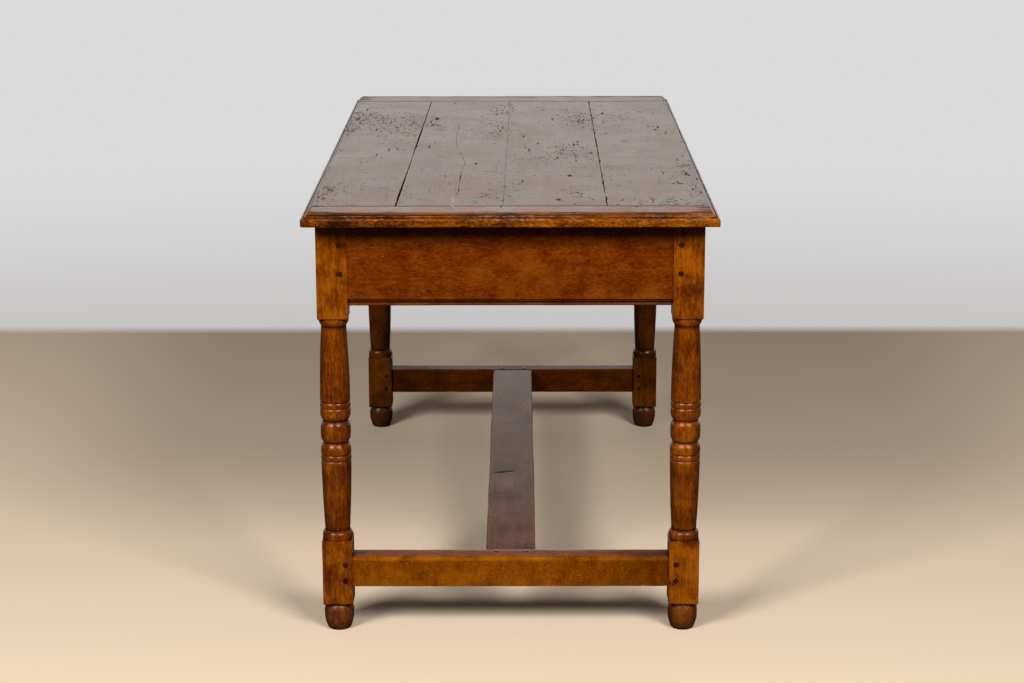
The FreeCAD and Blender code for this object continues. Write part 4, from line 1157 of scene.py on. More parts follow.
@dataclass
class Frame:
    """Legs, aprons and stretchers under the top."""

    leg_across: float = 305.0
    leg_along: float = 646.5
    half_spans: tuple[float, float] = (278.5, 620.0)
    apron_faces: tuple[float, float] = (671.5, 330.0)
    apron_bottom: float = 593.0
    apron_section: tuple[Corner, ...] = (
        (24.0, -0.7), (24.0, 145.0), (0.0, 145.0), (0.0, 10.6), (1.5, 9.7), (0.2, 8.8), (0.2, 7.0),
        (2.1, 5.9), (2.6, 5.0, 2.3), (2.6, -0.7),
    )
    apron_quirks: tuple[tuple[float, float, float, float], ...] = (
        (1.3, 9.7, 1.9, 1.0),
        (2.0, 5.8, 1.7, 1.0),
        (0.6, 2.8, 3.2, 0.36),
        (0.0, 7.9, 2.0, 0.3),
    )
    stains: tuple[tuple[float, float, float, float], ...] = (
        (-258.0, 19.0, 17.0, 7.0),
        (272.0, 125.0, 5.0, 12.0),
    )
    stretcher_face: float = 672.0
    stretcher_bottom: float = 85.0
    stretcher_section: tuple[Corner, ...] = (
        (1.4, -1.2), (42.6, -1.2, 0.41), (44.0, 0.2), (44.0, 51.6, 0.35), (42.8, 52.8), (5.0, 52.8, 1.2),
        (0.0, 47.4), (0.0, 0.2, 0.41),
    )
    stretcher_darker: tuple[tuple[float, float, float], ...] = ((-270.0, 45.0, 0.16), (250.0, 90.0, 0.36))
    stretcher_grime: tuple[float, float, float, float] = (23.0, 52.8, 16.0, 0.3)
    medial_half_width: float = 44.0
    medial_half_length: float = 628.0
    medial_bottom: float = 109.0
    medial_thickness: float = 28.0
    medial_arris: float = 2.0
    medial_scars: tuple[tuple[float, float, float, float, float, float], ...] = (
        (162.0, -13.0, -0.36, 4.8, 22.0, 1.25),
        (304.0, -24.0, -0.25, 7.0, 22.0, 0.35),
    )
    # How a leg differs from the others: its rubbing, and the painted shade on the sides of its turned rows
    rubbing: dict[str, dict] = field(
        default_factory=lambda: {
            "leg_front_left": {"painted_side_shade": (0.44, 0.3)},
            "leg_front_right": {"rubbed_blocks": (0.9, 0.3), "rubbed_shaft": 0.25},
        }
    )

    def build(self) -> None:
        """Makes every piece of the frame."""
        # The far legs take the copy of their wood that is darker as painted shade
        leg_woods = {"front": LEG_WOOD.build(), "back": SHADED_LEG_WOOD.build()}
        end_wood = APRON_WOOD.build()
        side_wood = SIDE_APRON_WOOD.build()
        for end, along in (("front", -self.leg_along), ("back", self.leg_along)):
            for side, across in (("left", -self.leg_across), ("right", self.leg_across)):
                name = f"leg_{end}_{side}"
                Leg(name, across, along, **self.rubbing.get(name, {})).build(leg_woods[end])
        end_face, side_face = self.apron_faces
        across, along = self.half_spans
        aprons = (
            ("apron_front", Side.FRONT, end_face, across, end_wood, (0.0, 0.7)),
            ("apron_back", Side.BACK, end_face, across, end_wood, (0.3, 0.0)),
            ("apron_left", Side.LEFT, side_face, along, side_wood, (0.0, 0.4)),
            ("apron_right", Side.RIGHT, side_face, along, side_wood, (0.3, 0.0)),
        )
        for seed, (name, side, face, half, finish, gaps) in enumerate(aprons):
            Rail(
                name,
                side,
                face,
                self.apron_bottom,
                half,
                self.apron_section,
                gaps,
                arris_wear=0.3,
                wear_reach=1.6,
                rubbed_face=0.22,
                grime_and_shade_lines=self.apron_quirks,
                stains=self.stains if side is Side.FRONT else (),
                seed=seed,
            ).build(finish)
        stretchers = (
            ("stretcher_front", Side.FRONT, STRETCHER_WOOD.build()),
            # The far stretcher takes the copy of the wood that is darker as painted shade
            ("stretcher_back", Side.BACK, SHADED_STRETCHER_WOOD.build()),
        )
        for seed, (name, side, finish) in enumerate(stretchers, 5):
            Rail(
                name,
                side,
                self.stretcher_face,
                self.stretcher_bottom,
                across,
                self.stretcher_section,
                arris_wear=0.4,
                wear_reach=2.2,
                grime_and_shade_lines=(self.stretcher_grime,) if side is Side.FRONT else (),
                darker=self.stretcher_darker,
                seed=seed,
            ).build(finish)
        self.medial(MEDIAL_WOOD.build())

    def medial(self, finish: Material) -> None:
        """The long flat stretcher between the two end ones, with a scar where something was dragged over it.

        Args:
            finish: Its material.
        """
        half, thickness, arris = self.medial_half_width, self.medial_thickness, self.medial_arris
        section = (
            (half - arris, 0.0),
            (-half + arris, 0.0, -0.6),
            (-half, arris),
            (-half, thickness - arris, -0.6),
            (-half + arris, thickness),
            (half - arris, thickness, -0.6),
            (half, thickness - arris),
            (half, arris, -0.6),
        )
        Rail(
            "stretcher_medial",
            Side.LEFT,
            0.0,
            self.medial_bottom,
            self.medial_half_length,
            section,
            arris_wear=0.8,
            sag=0.5,
            step=2.5,
            # Painted shade along both upper arrises
            grime_and_shade_lines=tuple((end * (half - 0.6), thickness - 0.6, 2.0, 0.5) for end in (-1, 1)),
            scars=self.medial_scars,
            seed=8,
        ).build(finish)


# Top


@dataclass(frozen=True)
class PitFlock:
    """Worm holes and nicks near one place of the top: how many, how far they spread and how long each is."""

    across: float
    along: float
    reach_across: float
    reach_along: float
    count: int
    length: float = 15.0
    width: float = 1.7
    depth: float = 0.9


@dataclass
class WornSurface:
    """The worn upper surface of the top, as one field over all boards.

    Attributes:
        flocks: Where worm holes and nicks gather.
        few: A flock of up to this many is drawn mark by mark, and a larger one as a share of fine marks and
            one drawn mark for each this many.
        scratches: Faint scratches across: X, Y, half length and width.
    """

    few: int = 4
    flocks: tuple[PitFlock, ...] = (
        PitFlock(-317, 413, 26, 60, 26), PitFlock(-337, 207, 10, 70, 20),
        PitFlock(-162, 370, 3, 6, 2, 16.0, 3.6, 1.4), PitFlock(-223, -37, 1, 4, 1, 19.0, 2.2, 1.2),
        PitFlock(-239, -54, 2, 6, 1, 15.0, 1.8), PitFlock(-260, -89, 3, 20, 2, 13.0, 1.8),
        PitFlock(-223, 267, 42, 70, 34), PitFlock(-158, 27, 10, 40, 7, 12.0, 2.0),
        PitFlock(-325, -516, 13, 60, 18, 8.0, 1.5, 1.2), PitFlock(-333, -573, 10, 34, 12, 7.0, 1.6, 1.2),
        PitFlock(-66, -208, 1, 1, 1, 6.0, 3.6, 1.2), PitFlock(-19, 500, 20, 60, 34, 8.0),
        PitFlock(-18, 227, 14, 80, 22, 8.0), PitFlock(-20, -573, 16, 36, 12, 7.0),
        PitFlock(21.7, -404, 0.5, 1, 1, 17.0, 2.3, 1.5), PitFlock(108, -341, 0.5, 1, 1, 7.0, 3.0, 1.5),
        PitFlock(84, -579, 1, 2, 2, 6.0, 3.6, 1.2), PitFlock(99, -53, 12, 60, 12, 9.0, 2.0),
        PitFlock(130, 39, 6, 30, 4, 14.0, 2.2), PitFlock(124, -124, 6, 24, 3, 12.0, 2.0),
        PitFlock(153, -89, 14, 60, 16, 8.0), PitFlock(154, 339, 26, 80, 34, 9.0),
        PitFlock(195, 437, 2, 6, 2, 12.0, 2.4), PitFlock(295, 255, 10, 30, 4, 15.0, 2.0),
        PitFlock(312, 184, 6, 30, 5), PitFlock(235, 39, 10, 40, 7, 11.0),
        PitFlock(324, -250, 7, 70, 16, 10.0, 1.9, 1.2), PitFlock(300, -420, 8, 8, 4, 5.0, 3.0),
        PitFlock(262, -596, 40, 24, 14, 5.0, 2.4), PitFlock(333, -480, 8, 44, 12, 8.0),
        PitFlock(112, -510, 12, 40, 12, 7.0), PitFlock(28, 125, 2, 8, 1, 12.0, 2.0),
        PitFlock(35, -44, 2, 8, 2, 12.0, 1.8), PitFlock(0, 0, 330, 600, 160, 9.0, 1.4, 0.6),
    )
    scratches: tuple[tuple[float, float, float, float], ...] = (
        (205, -236, 30, 3.0),
        (112, -252, 34, 3.0),
        (-29, -208, 18, 3.0),
    )

    def level(self, x: Points, y: Points) -> tuple[Points, Points, Points]:
        """How far the surface lies below the flat, and how dark its marks are.

        Formula: slow waves, plus a flat-bottomed pit for each large worm hole or nick: e to the minus power
        1.7 of the sum of the squares of the distances across and along in its widths and lengths. Fine worm
        marks stand closer where the bells of the flocks are high.

        Args:
            x: Places across in mm.
            y: Places along in mm.

        Returns:
            Depth in mm, darkness from 0 to 1 and the share of fine worm marks.
        """
        points = np.stack([x, y, np.zeros_like(x)], axis=-1)
        depth = 0.35 + 0.28 * waver(points, (120, 300, 1), 81) + 0.14 * waver(points, (16, 150, 1), 82)
        depth += 0.06 * waver(points, (400, 14, 1), 83)
        dark = np.zeros_like(x)
        pitted = 0.05 + 0.22 * waver(points, (60, 160, 1), 84)
        pick = np.random.default_rng(7)
        for flock in self.flocks:
            large = flock.count if flock.count <= self.few else flock.count // self.few
            places = pick.normal(size=(large, 2)) * (flock.reach_across, flock.reach_along)
            sizes = pick.uniform(0.45, 1.25, size=(large, 2))
            for (dx, dy), (wide, long) in zip(places, sizes):
                across = (x - flock.across - dx) / (flock.width * wide)
                along = (y - flock.along - dy) / (flock.length * long)
                near = np.exp(-((across**2 + along**2) ** 1.7))
                depth += flock.depth * near
                dark = np.maximum(dark, near * (0.55 + 0.45 * wide))
            if flock.count > self.few:
                spread = ((x - flock.across) / (2.0 * flock.reach_across)) ** 2
                spread += ((y - flock.along) / (1.8 * flock.reach_along)) ** 2
                pitted += min(0.5, flock.count / 40) * np.exp(-spread) * (flock.reach_across < 100)
        for at_x, at_y, reach, wide in self.scratches:
            near = np.exp(-(((x - at_x) / reach) ** 4) - ((y - at_y - 0.03 * (x - at_x)) / wide) ** 2)
            near *= 0.5 + 0.5 * waver(points, (9, 9, 1), 85)
            dark = np.maximum(dark, 0.4 * near)
            depth += 0.12 * near
        return depth, np.clip(dark, 0, 1), np.clip(pitted, 0, 0.8)


@dataclass
class Top:
    """Four boards between two breadboard ends, with a moulding worked round the edge.

    Attributes:
        half_width: Half the top's width.
        half_length: Half its length.
        underside: Height of its underside above the floor.
        thickness: Thickness of its boards.
        front_inner: Y of the front breadboard end's inner edge.
        back_inner: Y of the back one's.
        front_corners: Radii of the front end's left and right corner, as seen from that end.
        back_corners: The same for the back end.
        moulding_width: How far in from the edge the moulding reaches.
        seams: X at the front, X at the back and gap of each seam between boards.
        chip_reach: How far each seam's edges are chipped.
        chipped_places: For a seam, the places along it and their reach where the chips are fresh and pale.
        moulding: The moulding's section from the underside up: inset, height and bulge.
        front_roll: How far the front edge is worn down.
        painted_glint_flecks: Painted glints in the chips and pits of the front moulding: X, reach and
            strength.
        board_names: The boards from left to right.
        surface: Wear of the upper surface.
        crack: Turning points of the crack from the far end: Y and X.
    """

    half_width: float = 353.0
    half_length: float = 720.0
    underside: float = 738.0
    thickness: float = 22.0
    front_inner: float = -641.0
    back_inner: float = 624.0
    front_corners: tuple[float, float] = (6.0, 1.2)
    back_corners: tuple[float, float] = (12.0, 17.0)
    moulding_width: float = 12.8
    seams: tuple[tuple[float, float, float], ...] = (
        (-195.99, -180.03, 3.0),
        (-12.0, -5.02, 0.8),
        (165.98, 171.49, 2.0),
    )
    chip_reach: tuple[float, float, float] = (1.0, 0.25, 2.0)
    chipped_places: tuple[tuple[int, tuple[tuple[float, float], ...]], ...] = (
        (0, ((-250.0, 80.0), (60.0, 50.0))),
        (2, ((-40.0, 90.0), (-520.0, 70.0))),
    )
    moulding: tuple[Corner, ...] = (
        (2.2, 0.0, -0.64), (0.0, 2.2), (0.0, 10.4, -0.93), (3.3, 14.3), (3.9, 14.2), (4.8, 12.6),
        (5.7, 14.5, -1.35), (12.3, 20.6), (12.9, 21.7),
    )
    front_roll: float = 1.7
    painted_glint_flecks: tuple[tuple[float, float, float], ...] = (
        (-272.0, 9.0, 0.7), (-214.0, 4.0, 0.7), (-158.0, 6.0, 0.4), (-34.0, 34.0, 1.0), (30.0, 30.0, 0.8),
        (73.0, 6.0, 0.7), (100.0, 9.0, 0.8), (208.0, 8.0, 0.5), (245.0, 9.0, 0.7), (316.0, 30.0, 0.8),
    )
    board_names: tuple[str, ...] = ("left_outer", "left_inner", "right_inner", "right_outer")
    surface: WornSurface = field(default_factory=WornSurface)
    crack: tuple[tuple[float, float], ...] = (
        (306.0, -109.5), (136.0, -112.4), (0.0, -108.0), (-102.0, -96.5), (-199.0, -86.2), (-233.0, -86.7),
        (-276.0, -90.8), (-374.0, -91.9), (-453.0, -92.1), (-520.0, -91.6), (-535.0, -97.3), (-592.0, -98.0),
        (-645.0, -96.9),
    )

    def build(self) -> None:
        """Makes the boards and the breadboard ends."""
        board_wood = BOARD_WOOD.build()
        end_wood = BREADBOARD_WOOD.build()
        for number, name in enumerate(self.board_names):
            self.board(number, f"top_board_{name}", board_wood)
        self.breadboard("breadboard_front", Side.FRONT, -self.front_inner, self.front_corners, end_wood)
        far_wood = FAR_BREADBOARD_WOOD.build()
        self.breadboard("breadboard_back", Side.BACK, self.back_inner, self.back_corners, far_wood)

    def seam(self, number: int, y: Points) -> tuple[Points, Points]:
        """X of both edges at one seam.

        Formula: the seam's line, with half its gap to either side, each half worn by its own waves. The left
        seam is widest in two places and pinched between them.

        Args:
            number: Number of the seam from the left.
            y: Places along in mm.

        Returns:
            X of the left board's edge and of the right board's.
        """
        front, back, gap = self.seams[number]
        share = (y - self.front_inner) / (self.back_inner - self.front_inner)
        middle = front + (back - front) * share
        line = np.stack([middle, y, np.zeros_like(y)], axis=-1)
        seed = 90 + number * 4
        rough = [waver(line, (50, cell, 1), seed + turn) for turn, cell in enumerate((9, 14, 60))]
        if number == 0:
            width = 0.2 + 0.85 * bump(y, 110, 130) + 0.85 * bump(y, -510, 140)
        elif number == 1:
            width = 0.15 + 0.2 * rough[2]
        else:
            width = 0.5 + 0.5 * rough[2]
        chips = self.chip_reach[number]
        left = gap / 2 * width + chips * fade(rough[0], 0.0, 0.8)
        right = gap / 2 * width + chips * fade(rough[1], 0.0, 0.8)
        drift = 0.4 * chips * rough[2]
        return middle + drift - np.maximum(left, 0.1), middle + drift + np.maximum(right, 0.1)

    def board(self, number: int, name: str, finish: Material) -> bpy.types.Object:
        """One lengthwise board.

        Formula: at each place along it, a loop of points round the section: the worn top from the left edge
        to the right one, down the right edge, back along the underside and up the left edge. An outer board
        has the moulding on its outer edge, and the board with the crack has columns that follow it.

        Args:
            number: Number of the board from the left.
            name: The CAD node's name.
            finish: Its material.

        Returns:
            The board.
        """
        first, last = number == 0, number == len(self.seams)
        y = np.linspace(self.front_inner + 0.35, self.back_inner - 0.35, 410)
        left = np.full_like(y, -self.half_width) if first else self.seam(number - 1, y)[1]
        right = np.full_like(y, self.half_width) if last else self.seam(number, y)[0]
        edge = trace(self.moulding, 1.3)
        rim = self.moulding_width + 0.1
        worn_left = 0.0 if first else 0.3 + 0.25 * self.seams[number - 1][2]
        worn_right = 0.0 if last else 0.3 + 0.25 * self.seams[number][2]
        start = left + (rim if first else worn_left)
        stop = right - (rim if last else worn_right)
        across = self.columns(number, y, start, stop)
        flat_x = across.T
        flat_y = np.broadcast_to(y[:, None], flat_x.shape)
        depth, dark, pitted = self.surface.level(flat_x, flat_y)
        split = self.crack_depth(flat_x, flat_y) if number == 1 else np.zeros_like(flat_x)
        joint = bump(y, y[0], 2.2) + bump(y, y[-1], 2.2)
        level = self.thickness - depth - split - 0.5 * joint[:, None]
        dirt_and_shade = np.maximum(np.maximum(dark, np.clip(split / 1.8, 0, 1)), 0.5 * joint[:, None])
        left_side = self.side_points(y, left, edge, worn_left, 1)
        right_side = self.side_points(y, right, edge, worn_right, -1)
        x = np.concatenate([left_side[0], flat_x, right_side[0][:, ::-1]], axis=1)
        z = np.concatenate([left_side[1], level, right_side[1][:, ::-1]], axis=1) + self.underside
        dirt_and_shade = np.concatenate([left_side[2], dirt_and_shade, right_side[2][:, ::-1]], axis=1)
        pitted = np.pad(pitted, ((0, 0), (left_side[0].shape[1], right_side[0].shape[1])), mode="edge")
        points = np.stack([x, np.broadcast_to(y[:, None], x.shape), z], axis=-1)
        bare_and_painted_light = self.bare_wood(points)
        rubbed = 0.3 * fade(np.abs(x), 338.0, 344.0) * (0.5 + 0.5 * waver(points, (20, 60, 20), 97))
        marks = {"dirt_and_shade": dirt_and_shade * (1 - bare_and_painted_light), "bare_and_painted_light": bare_and_painted_light, "polish": rubbed, "pitted": pitted}
        return make_piece(name, [Skin(points, marks)], finish)

    def columns(self, number: int, y: Points, start: Points, stop: Points) -> Points:
        """X of each column of a board's upper surface.

        Formula: even shares between the edges, or, beside the crack, even shares to either side of it and
        closely set columns across it.

        Args:
            number: Number of the board.
            y: Places along in mm.
            start: X where the upper surface starts at each place.
            stop: X where it ends.

        Returns:
            One row for each column.
        """
        if number != 1:
            shares = np.linspace(0, 1, 150)[:, None]
            return start + (stop - start) * shares
        middle = self.crack_line(y)
        across = np.array([-2.2, -1.2, -0.7, -0.35, 0.0, 0.35, 0.7, 1.2, 2.2])[:, None]
        left = start + (middle - 3.4 - start) * np.linspace(0, 1, 72)[:, None]
        right = middle + 3.4 + (stop - middle - 3.4) * np.linspace(0, 1, 72)[:, None]
        return np.concatenate([left, middle + across, right])

    def crack_line(self, y: Points) -> Points:
        """X of the crack.

        Formula: a line through its turning points, made smooth by a running mean, with a small waver.

        Args:
            y: Places along in mm.

        Returns:
            X at each place.
        """
        turns = np.array(self.crack[::-1])
        grid = np.linspace(turns[0, 0], turns[-1, 0], 400)
        raw = np.interp(grid, turns[:, 0], turns[:, 1])
        kernel = np.hanning(19)
        smooth = np.convolve(np.pad(raw, 9, mode="edge"), kernel / kernel.sum(), mode="valid")
        line = np.stack([np.zeros_like(y), y, np.zeros_like(y)], axis=-1)
        return np.interp(y, grid, smooth) + 0.8 * waver(line, (1, 16, 1), 95)

    def crack_depth(self, x: Points, y: Points) -> Points:
        """Depth of the crack.

        Formula: a bell across it, uneven along it and fading out at its far end.

        Args:
            x: Places across in mm.
            y: Places along in mm.

        Returns:
            Depth in mm at each point.
        """
        distance = x - self.crack_line(y[:, 0])[:, None]
        along = np.stack([np.zeros_like(y), y, np.zeros_like(y)], axis=-1)
        strength = 0.5 + 0.3 * waver(along, (1, 40, 1), 96) + 0.35 * waver(along, (1, 9, 1), 94)
        strength *= fade(y, 330.0, 250.0) * (1.0 + 0.8 * bump(y, -380, 90))
        return 1.6 * strength * bump(distance, 0.0, 0.7)

    def bare_wood(self, points: Points) -> Points:
        """Pale wood: filler at the crack's near end, and chips along the wide seams in a few places.

        Args:
            points: Points of a board.

        Returns:
            Share of pale wood at each point.
        """
        x, y = points[..., 0], points[..., 1]
        rough = 0.7 + 0.5 * waver(points, (4, 22, 4), 98)
        top = fade(points[..., 2], self.underside + 17.0, self.underside + 20.0)
        pale = fade(y, -520.0, -545.0) * bump(x, -98.5, 2.6) * (1 - 0.9 * bump(y, -614, 10))
        chipped = fade(waver(points, (9, 13, 90), 99), 0.05, 0.6)
        for number, places in self.chipped_places:
            edges = self.seam(number, y)
            beside = np.minimum(np.abs(x - edges[0]), np.abs(x - edges[1]))
            share = sum(bump(y, place, reach) for place, reach in places)
            pale = pale + 0.9 * share * chipped * bump(beside, 0.0, 1.9)
        return np.clip(pale * rough * top, 0, 1)

    def side_points(
        self, y: Points, line: Points, edge: Points, soft: float, inward: int
    ) -> tuple[Points, Points, Points]:
        """Points up one edge of a board, from the underside to the flat.

        Args:
            y: Places along in mm.
            line: X of the edge at each place.
            edge: The moulding's points, (inset, height).
            soft: Width of a plain edge's softened arris in mm, or 0 for an edge that has the moulding.
            inward: 1 for a left edge and -1 for a right one.

        Returns:
            X, height and darkening of each point, one row for each place.
        """
        if not soft:
            points = np.stack(np.broadcast_arrays(line[:, None], y[:, None], edge[:, 1]), axis=-1)
            inset = edge[:, 0] + self.edge_wear(points, edge)
            grime_and_shade = 0.5 * self.edge_dark_marks(points, edge)
            return line[:, None] + inward * inset, np.broadcast_to(edge[:, 1], inset.shape), grime_and_shade
        drops = soft * np.array([0.9, 0.35, 0.05])
        heights = np.concatenate([[0.4, 6.0, 12.0, 17.0], self.thickness - 0.35 - drops])
        insets = np.concatenate([[0.4, 0.0, 0.0, 0.0], soft * np.array([0.0, 0.35, 0.9])])
        grime_and_shade = np.array([0.2, 0.9, 1.0, 1.0, 0.5, 0.2, 0.0])
        x = line[:, None] + inward * insets
        return x, np.broadcast_to(heights, x.shape), np.broadcast_to(grime_and_shade, x.shape)

    def edge_wear(self, points: Points, edge: Points) -> Points:
        """How far the moulding is worn back: slow waves, and pits on the ovolo and the nose.

        Args:
            points: Places in the random fields.
            edge: The moulding's points, (inset, height).

        Returns:
            Depth in mm at each point.
        """
        wear = 0.25 + 0.25 * waver(points, (60, 60, 9), 101)
        upper = fade(edge[:, 1], 13.8, 16.2)
        pits = fade(waver(points, (7, 7, 4), 102) + 0.5 * waver(points, (90, 90, 60), 103), 0.45, 1.0)
        return wear + 0.9 * pits * upper

    def edge_dark_marks(self, points: Points, edge: Points) -> Points:
        """Dark marks of the moulding: broken dark lines over the quirk and under the flat, and flecks
        between.

        Args:
            points: Places in the random fields.
            edge: The moulding's points, (inset, height).

        Returns:
            Share of darkening at each point.
        """
        over_quirk = bump(edge[:, 1], 15.2, 1.5) * (edge[:, 0] > 3.7)
        under_flat = bump(edge[:, 1], 21.0, 1.3) * (edge[:, 0] > 9.0)
        under_flat = under_flat * (1 - 0.55 * fade(points[..., 0], 20.0, 220.0))
        upper = fade(edge[:, 1], 13.8, 16.2)
        flecks = waver(points, (16, 16, 3), 104) + 0.8 * waver(points, (90, 90, 60), 103)
        flecks = fade(flecks, 0.15, 0.85) * upper
        broken = 0.9 + 0.55 * waver(points, (34, 34, 400), 105)
        lines = np.maximum(over_quirk, under_flat) * np.clip(broken, 0.45, 1.0)
        return np.maximum(lines, 0.7 * flecks)

    def outline(self, inner: float, inset: Points, corner_radii: tuple[float, float]) -> Points:
        """Paths round the three free sides of a breadboard end, each set in from its outline.

        Formula: a corner is a quarter circle of the corner's radius less the inset.

        Args:
            inner: Distance of its inner edge from the table's middle.
            inset: How far in each path runs.
            corner_radii: Radii of its left and right corner as seen from that end.

        Returns:
            X and Y, one row for each place round the board and one column for each path.
        """
        shares = np.linspace(0, 1, 22)[:-1, None]
        turn = np.linspace(0, math.pi / 2, 9)
        sides = []
        for end, radius in zip((-1, 1), corner_radii):
            around = np.maximum(radius - inset, 0.02)
            centre_x = end * (self.half_width - inset - around)
            centre_y = -self.half_length + inset + around
            side_y = -inner + (centre_y + inner) * shares
            side_x = np.broadcast_to(end * (self.half_width - inset), side_y.shape)
            arc_x = centre_x + end * around * np.cos(turn)[:, None]
            arc_y = centre_y - around * np.sin(turn)[:, None]
            x, y = np.concatenate([side_x, arc_x]), np.concatenate([side_y, arc_y])
            sides.append(np.stack([x, y], axis=-1))
        left, right = sides
        front = np.linspace(0, 1, 400)[1:-1, None, None]
        return np.concatenate([left, left[-1] + (right[-1] - left[-1]) * front, right[::-1]])

    def breadboard(
        self, name: str, side: Side, inner: float, corner_radii: tuple[float, float], finish: Material
    ) -> bpy.types.Object:
        """One breadboard end, drawn for the front.

        Formula: the section, from the underside out round the moulding and back over the flat, is carried
        round three sides of the board. At each place of the section the path is the outline set in by its
        inset.

        Args:
            name: The CAD node's name.
            side: Front or back.
            inner: Distance of its inner edge from the table's middle.
            corner_radii: Radii of its left and right corner as seen from that end.
            finish: Its material.

        Returns:
            The breadboard end.
        """
        width = self.half_length - inner
        edge = trace(self.moulding, 1.0)
        flat = np.linspace(self.moulding_width + 0.6, width, 30)
        inset = np.concatenate([[width, width * 0.5], edge[:, 0], flat])
        height = np.concatenate([[0.0, 0.0], edge[:, 1], np.full_like(flat, self.thickness)])
        plan = self.outline(inner, inset, corner_radii)
        across, along = plan[..., 0], plan[..., 1]
        points = np.stack([across, along, np.broadcast_to(height, across.shape)], axis=-1)
        on_table = turned(points, side)
        depth, dark, pitted = self.surface.level(on_table[..., 0], on_table[..., 1])
        on_flat = (np.arange(len(height)) >= len(height) - len(flat))[None, :]
        shape_edge = np.stack([inset, height], axis=-1)
        wear = self.edge_wear(on_table + 50.0, shape_edge)
        grime_and_shade = self.edge_dark_marks(on_table + 50.0, shape_edge)
        if side is Side.FRONT:
            # The lower part of the nose is darker on its left half
            nose = fade(height, 12.5, 10.0) * (0.6 + 0.6 * waver(on_table, (30, 60, 4), 115))
            left_half = fade(on_table[..., 0], -50.0, -160.0) * fade(on_table[..., 0], -345.0, -300.0)
            grime_and_shade = np.maximum(grime_and_shade, 0.75 * left_half * nose)
        moulded = ((inset < self.moulding_width) & (height > 0.5))[None, :]
        inward = np.stack([-across * (np.abs(across) > 330), -inner - along], axis=-1)
        inward /= np.maximum(np.linalg.norm(inward, axis=-1, keepdims=True), 1e-6)
        points[..., :2] += inward * (wear * moulded * fade(-along, inner + 1, inner + 8))[..., None]
        joint = bump(along, -inner, 2.0)
        points[..., 2] -= np.where(on_flat, depth + 0.45 * joint, 0.0)
        if side is Side.FRONT:
            from_end = along + self.half_length
            points[..., 2] -= self.front_roll * fade(from_end, 25.0, 11.0) * fade(height, 15.4, 20.6)
        points[..., 2] += self.underside
        near_edge = bump(inset, self.moulding_width, 30.0)
        soiled = waver(on_table, (40, 6, 6), 109) + 0.8 * waver(on_table, (130, 60, 60), 110)
        soiled = soiled + 0.5 * near_edge
        line = 0.7 * bump(inset, self.moulding_width, 2.4)
        line = line * (0.6 + 0.6 * waver(on_table, (24, 9, 9), 111))
        soiled = np.maximum(0.65 * fade(soiled, 0.4, 1.1) * near_edge, line)
        on_top = np.maximum(np.maximum(0.8 * dark, 0.55 * joint), soiled)
        dirt_and_shade = np.where(on_flat, on_top, grime_and_shade * moulded)
        rubbing = fade(on_table[..., 0], -230.0, 20.0) if side is Side.FRONT else 0.5
        rubbing = np.where(moulded, rubbing, 0.5 * fade(inset, 30.0, 15.0) * (side is Side.FRONT))
        polish = rubbing * (0.6 + 0.5 * waver(on_table, (60, 30, 30), 107))
        pitted = np.where(moulded, 0.35 + 0.3 * waver(on_table, (60, 60, 60), 108), 0.2 * pitted)
        waxed = 1.0 - 0.95 * fade(on_table[..., 0], 20.0, 230.0)
        waxed = waxed * fade(inset, 14.0, 30.0) * on_flat * (side is Side.FRONT)
        # Painted glints and a painted highlight on the front moulding
        bare_and_painted_light = np.where(moulded, self.pale(on_table, shape_edge), 0.0) * (side is Side.FRONT)
        dirt_and_shade = dirt_and_shade * (1 - 0.4 * bare_and_painted_light)
        marks = {"dirt_and_shade": dirt_and_shade, "polish": polish, "pitted": pitted, "waxed": waxed, "bare_and_painted_light": bare_and_painted_light}
        return make_piece(name, [Skin(turned(points, side), marks)], finish)

    def pale(self, points: Points, edge: Points) -> Points:
        """Painted light on the front moulding: glints in its chips and pits, and a highlight along the nose.

        Formula: flecks where the bells along X are high, and a thin painted highlight line on the top of the
        nose, brighter towards both ends.

        Args:
            points: Points of the breadboard end, on the table.
            edge: The section's points, (inset, height).

        Returns:
            Share of painted light at each point.
        """
        x = points[..., 0]
        # Painted glints in the chips and pits
        share = sum(strength * bump(x, centre, reach) for centre, reach, strength in self.painted_glint_flecks)
        rough = fade(waver(points, (5, 60, 1.6), 112) + 0.8 * waver(points, (2.2, 60, 1.0), 113), 0.0, 0.75)
        inset, height = edge[:, 0], edge[:, 1]
        span = fade(height, 12.0, 14.0) * fade(height, 21.4, 19.0)
        span = span * (1 - 0.7 * bump(height, 15.0, 1.2) * (inset > 3.7))
        ends = 0.5 + fade(x, 120.0, 320.0) + 0.8 * fade(x, -180.0, -320.0)
        # A painted highlight along the top of the nose, brighter towards both ends
        line = ends * bump(height, 12.6, 1.4) * (inset < 3.2) * (0.6 + 0.5 * waver(points, (26, 60, 60), 114))
        return np.maximum(0.8 * np.clip(share, 0, 1) * rough * span, 0.1 * np.clip(line, 0, 1.4))


# Pegs


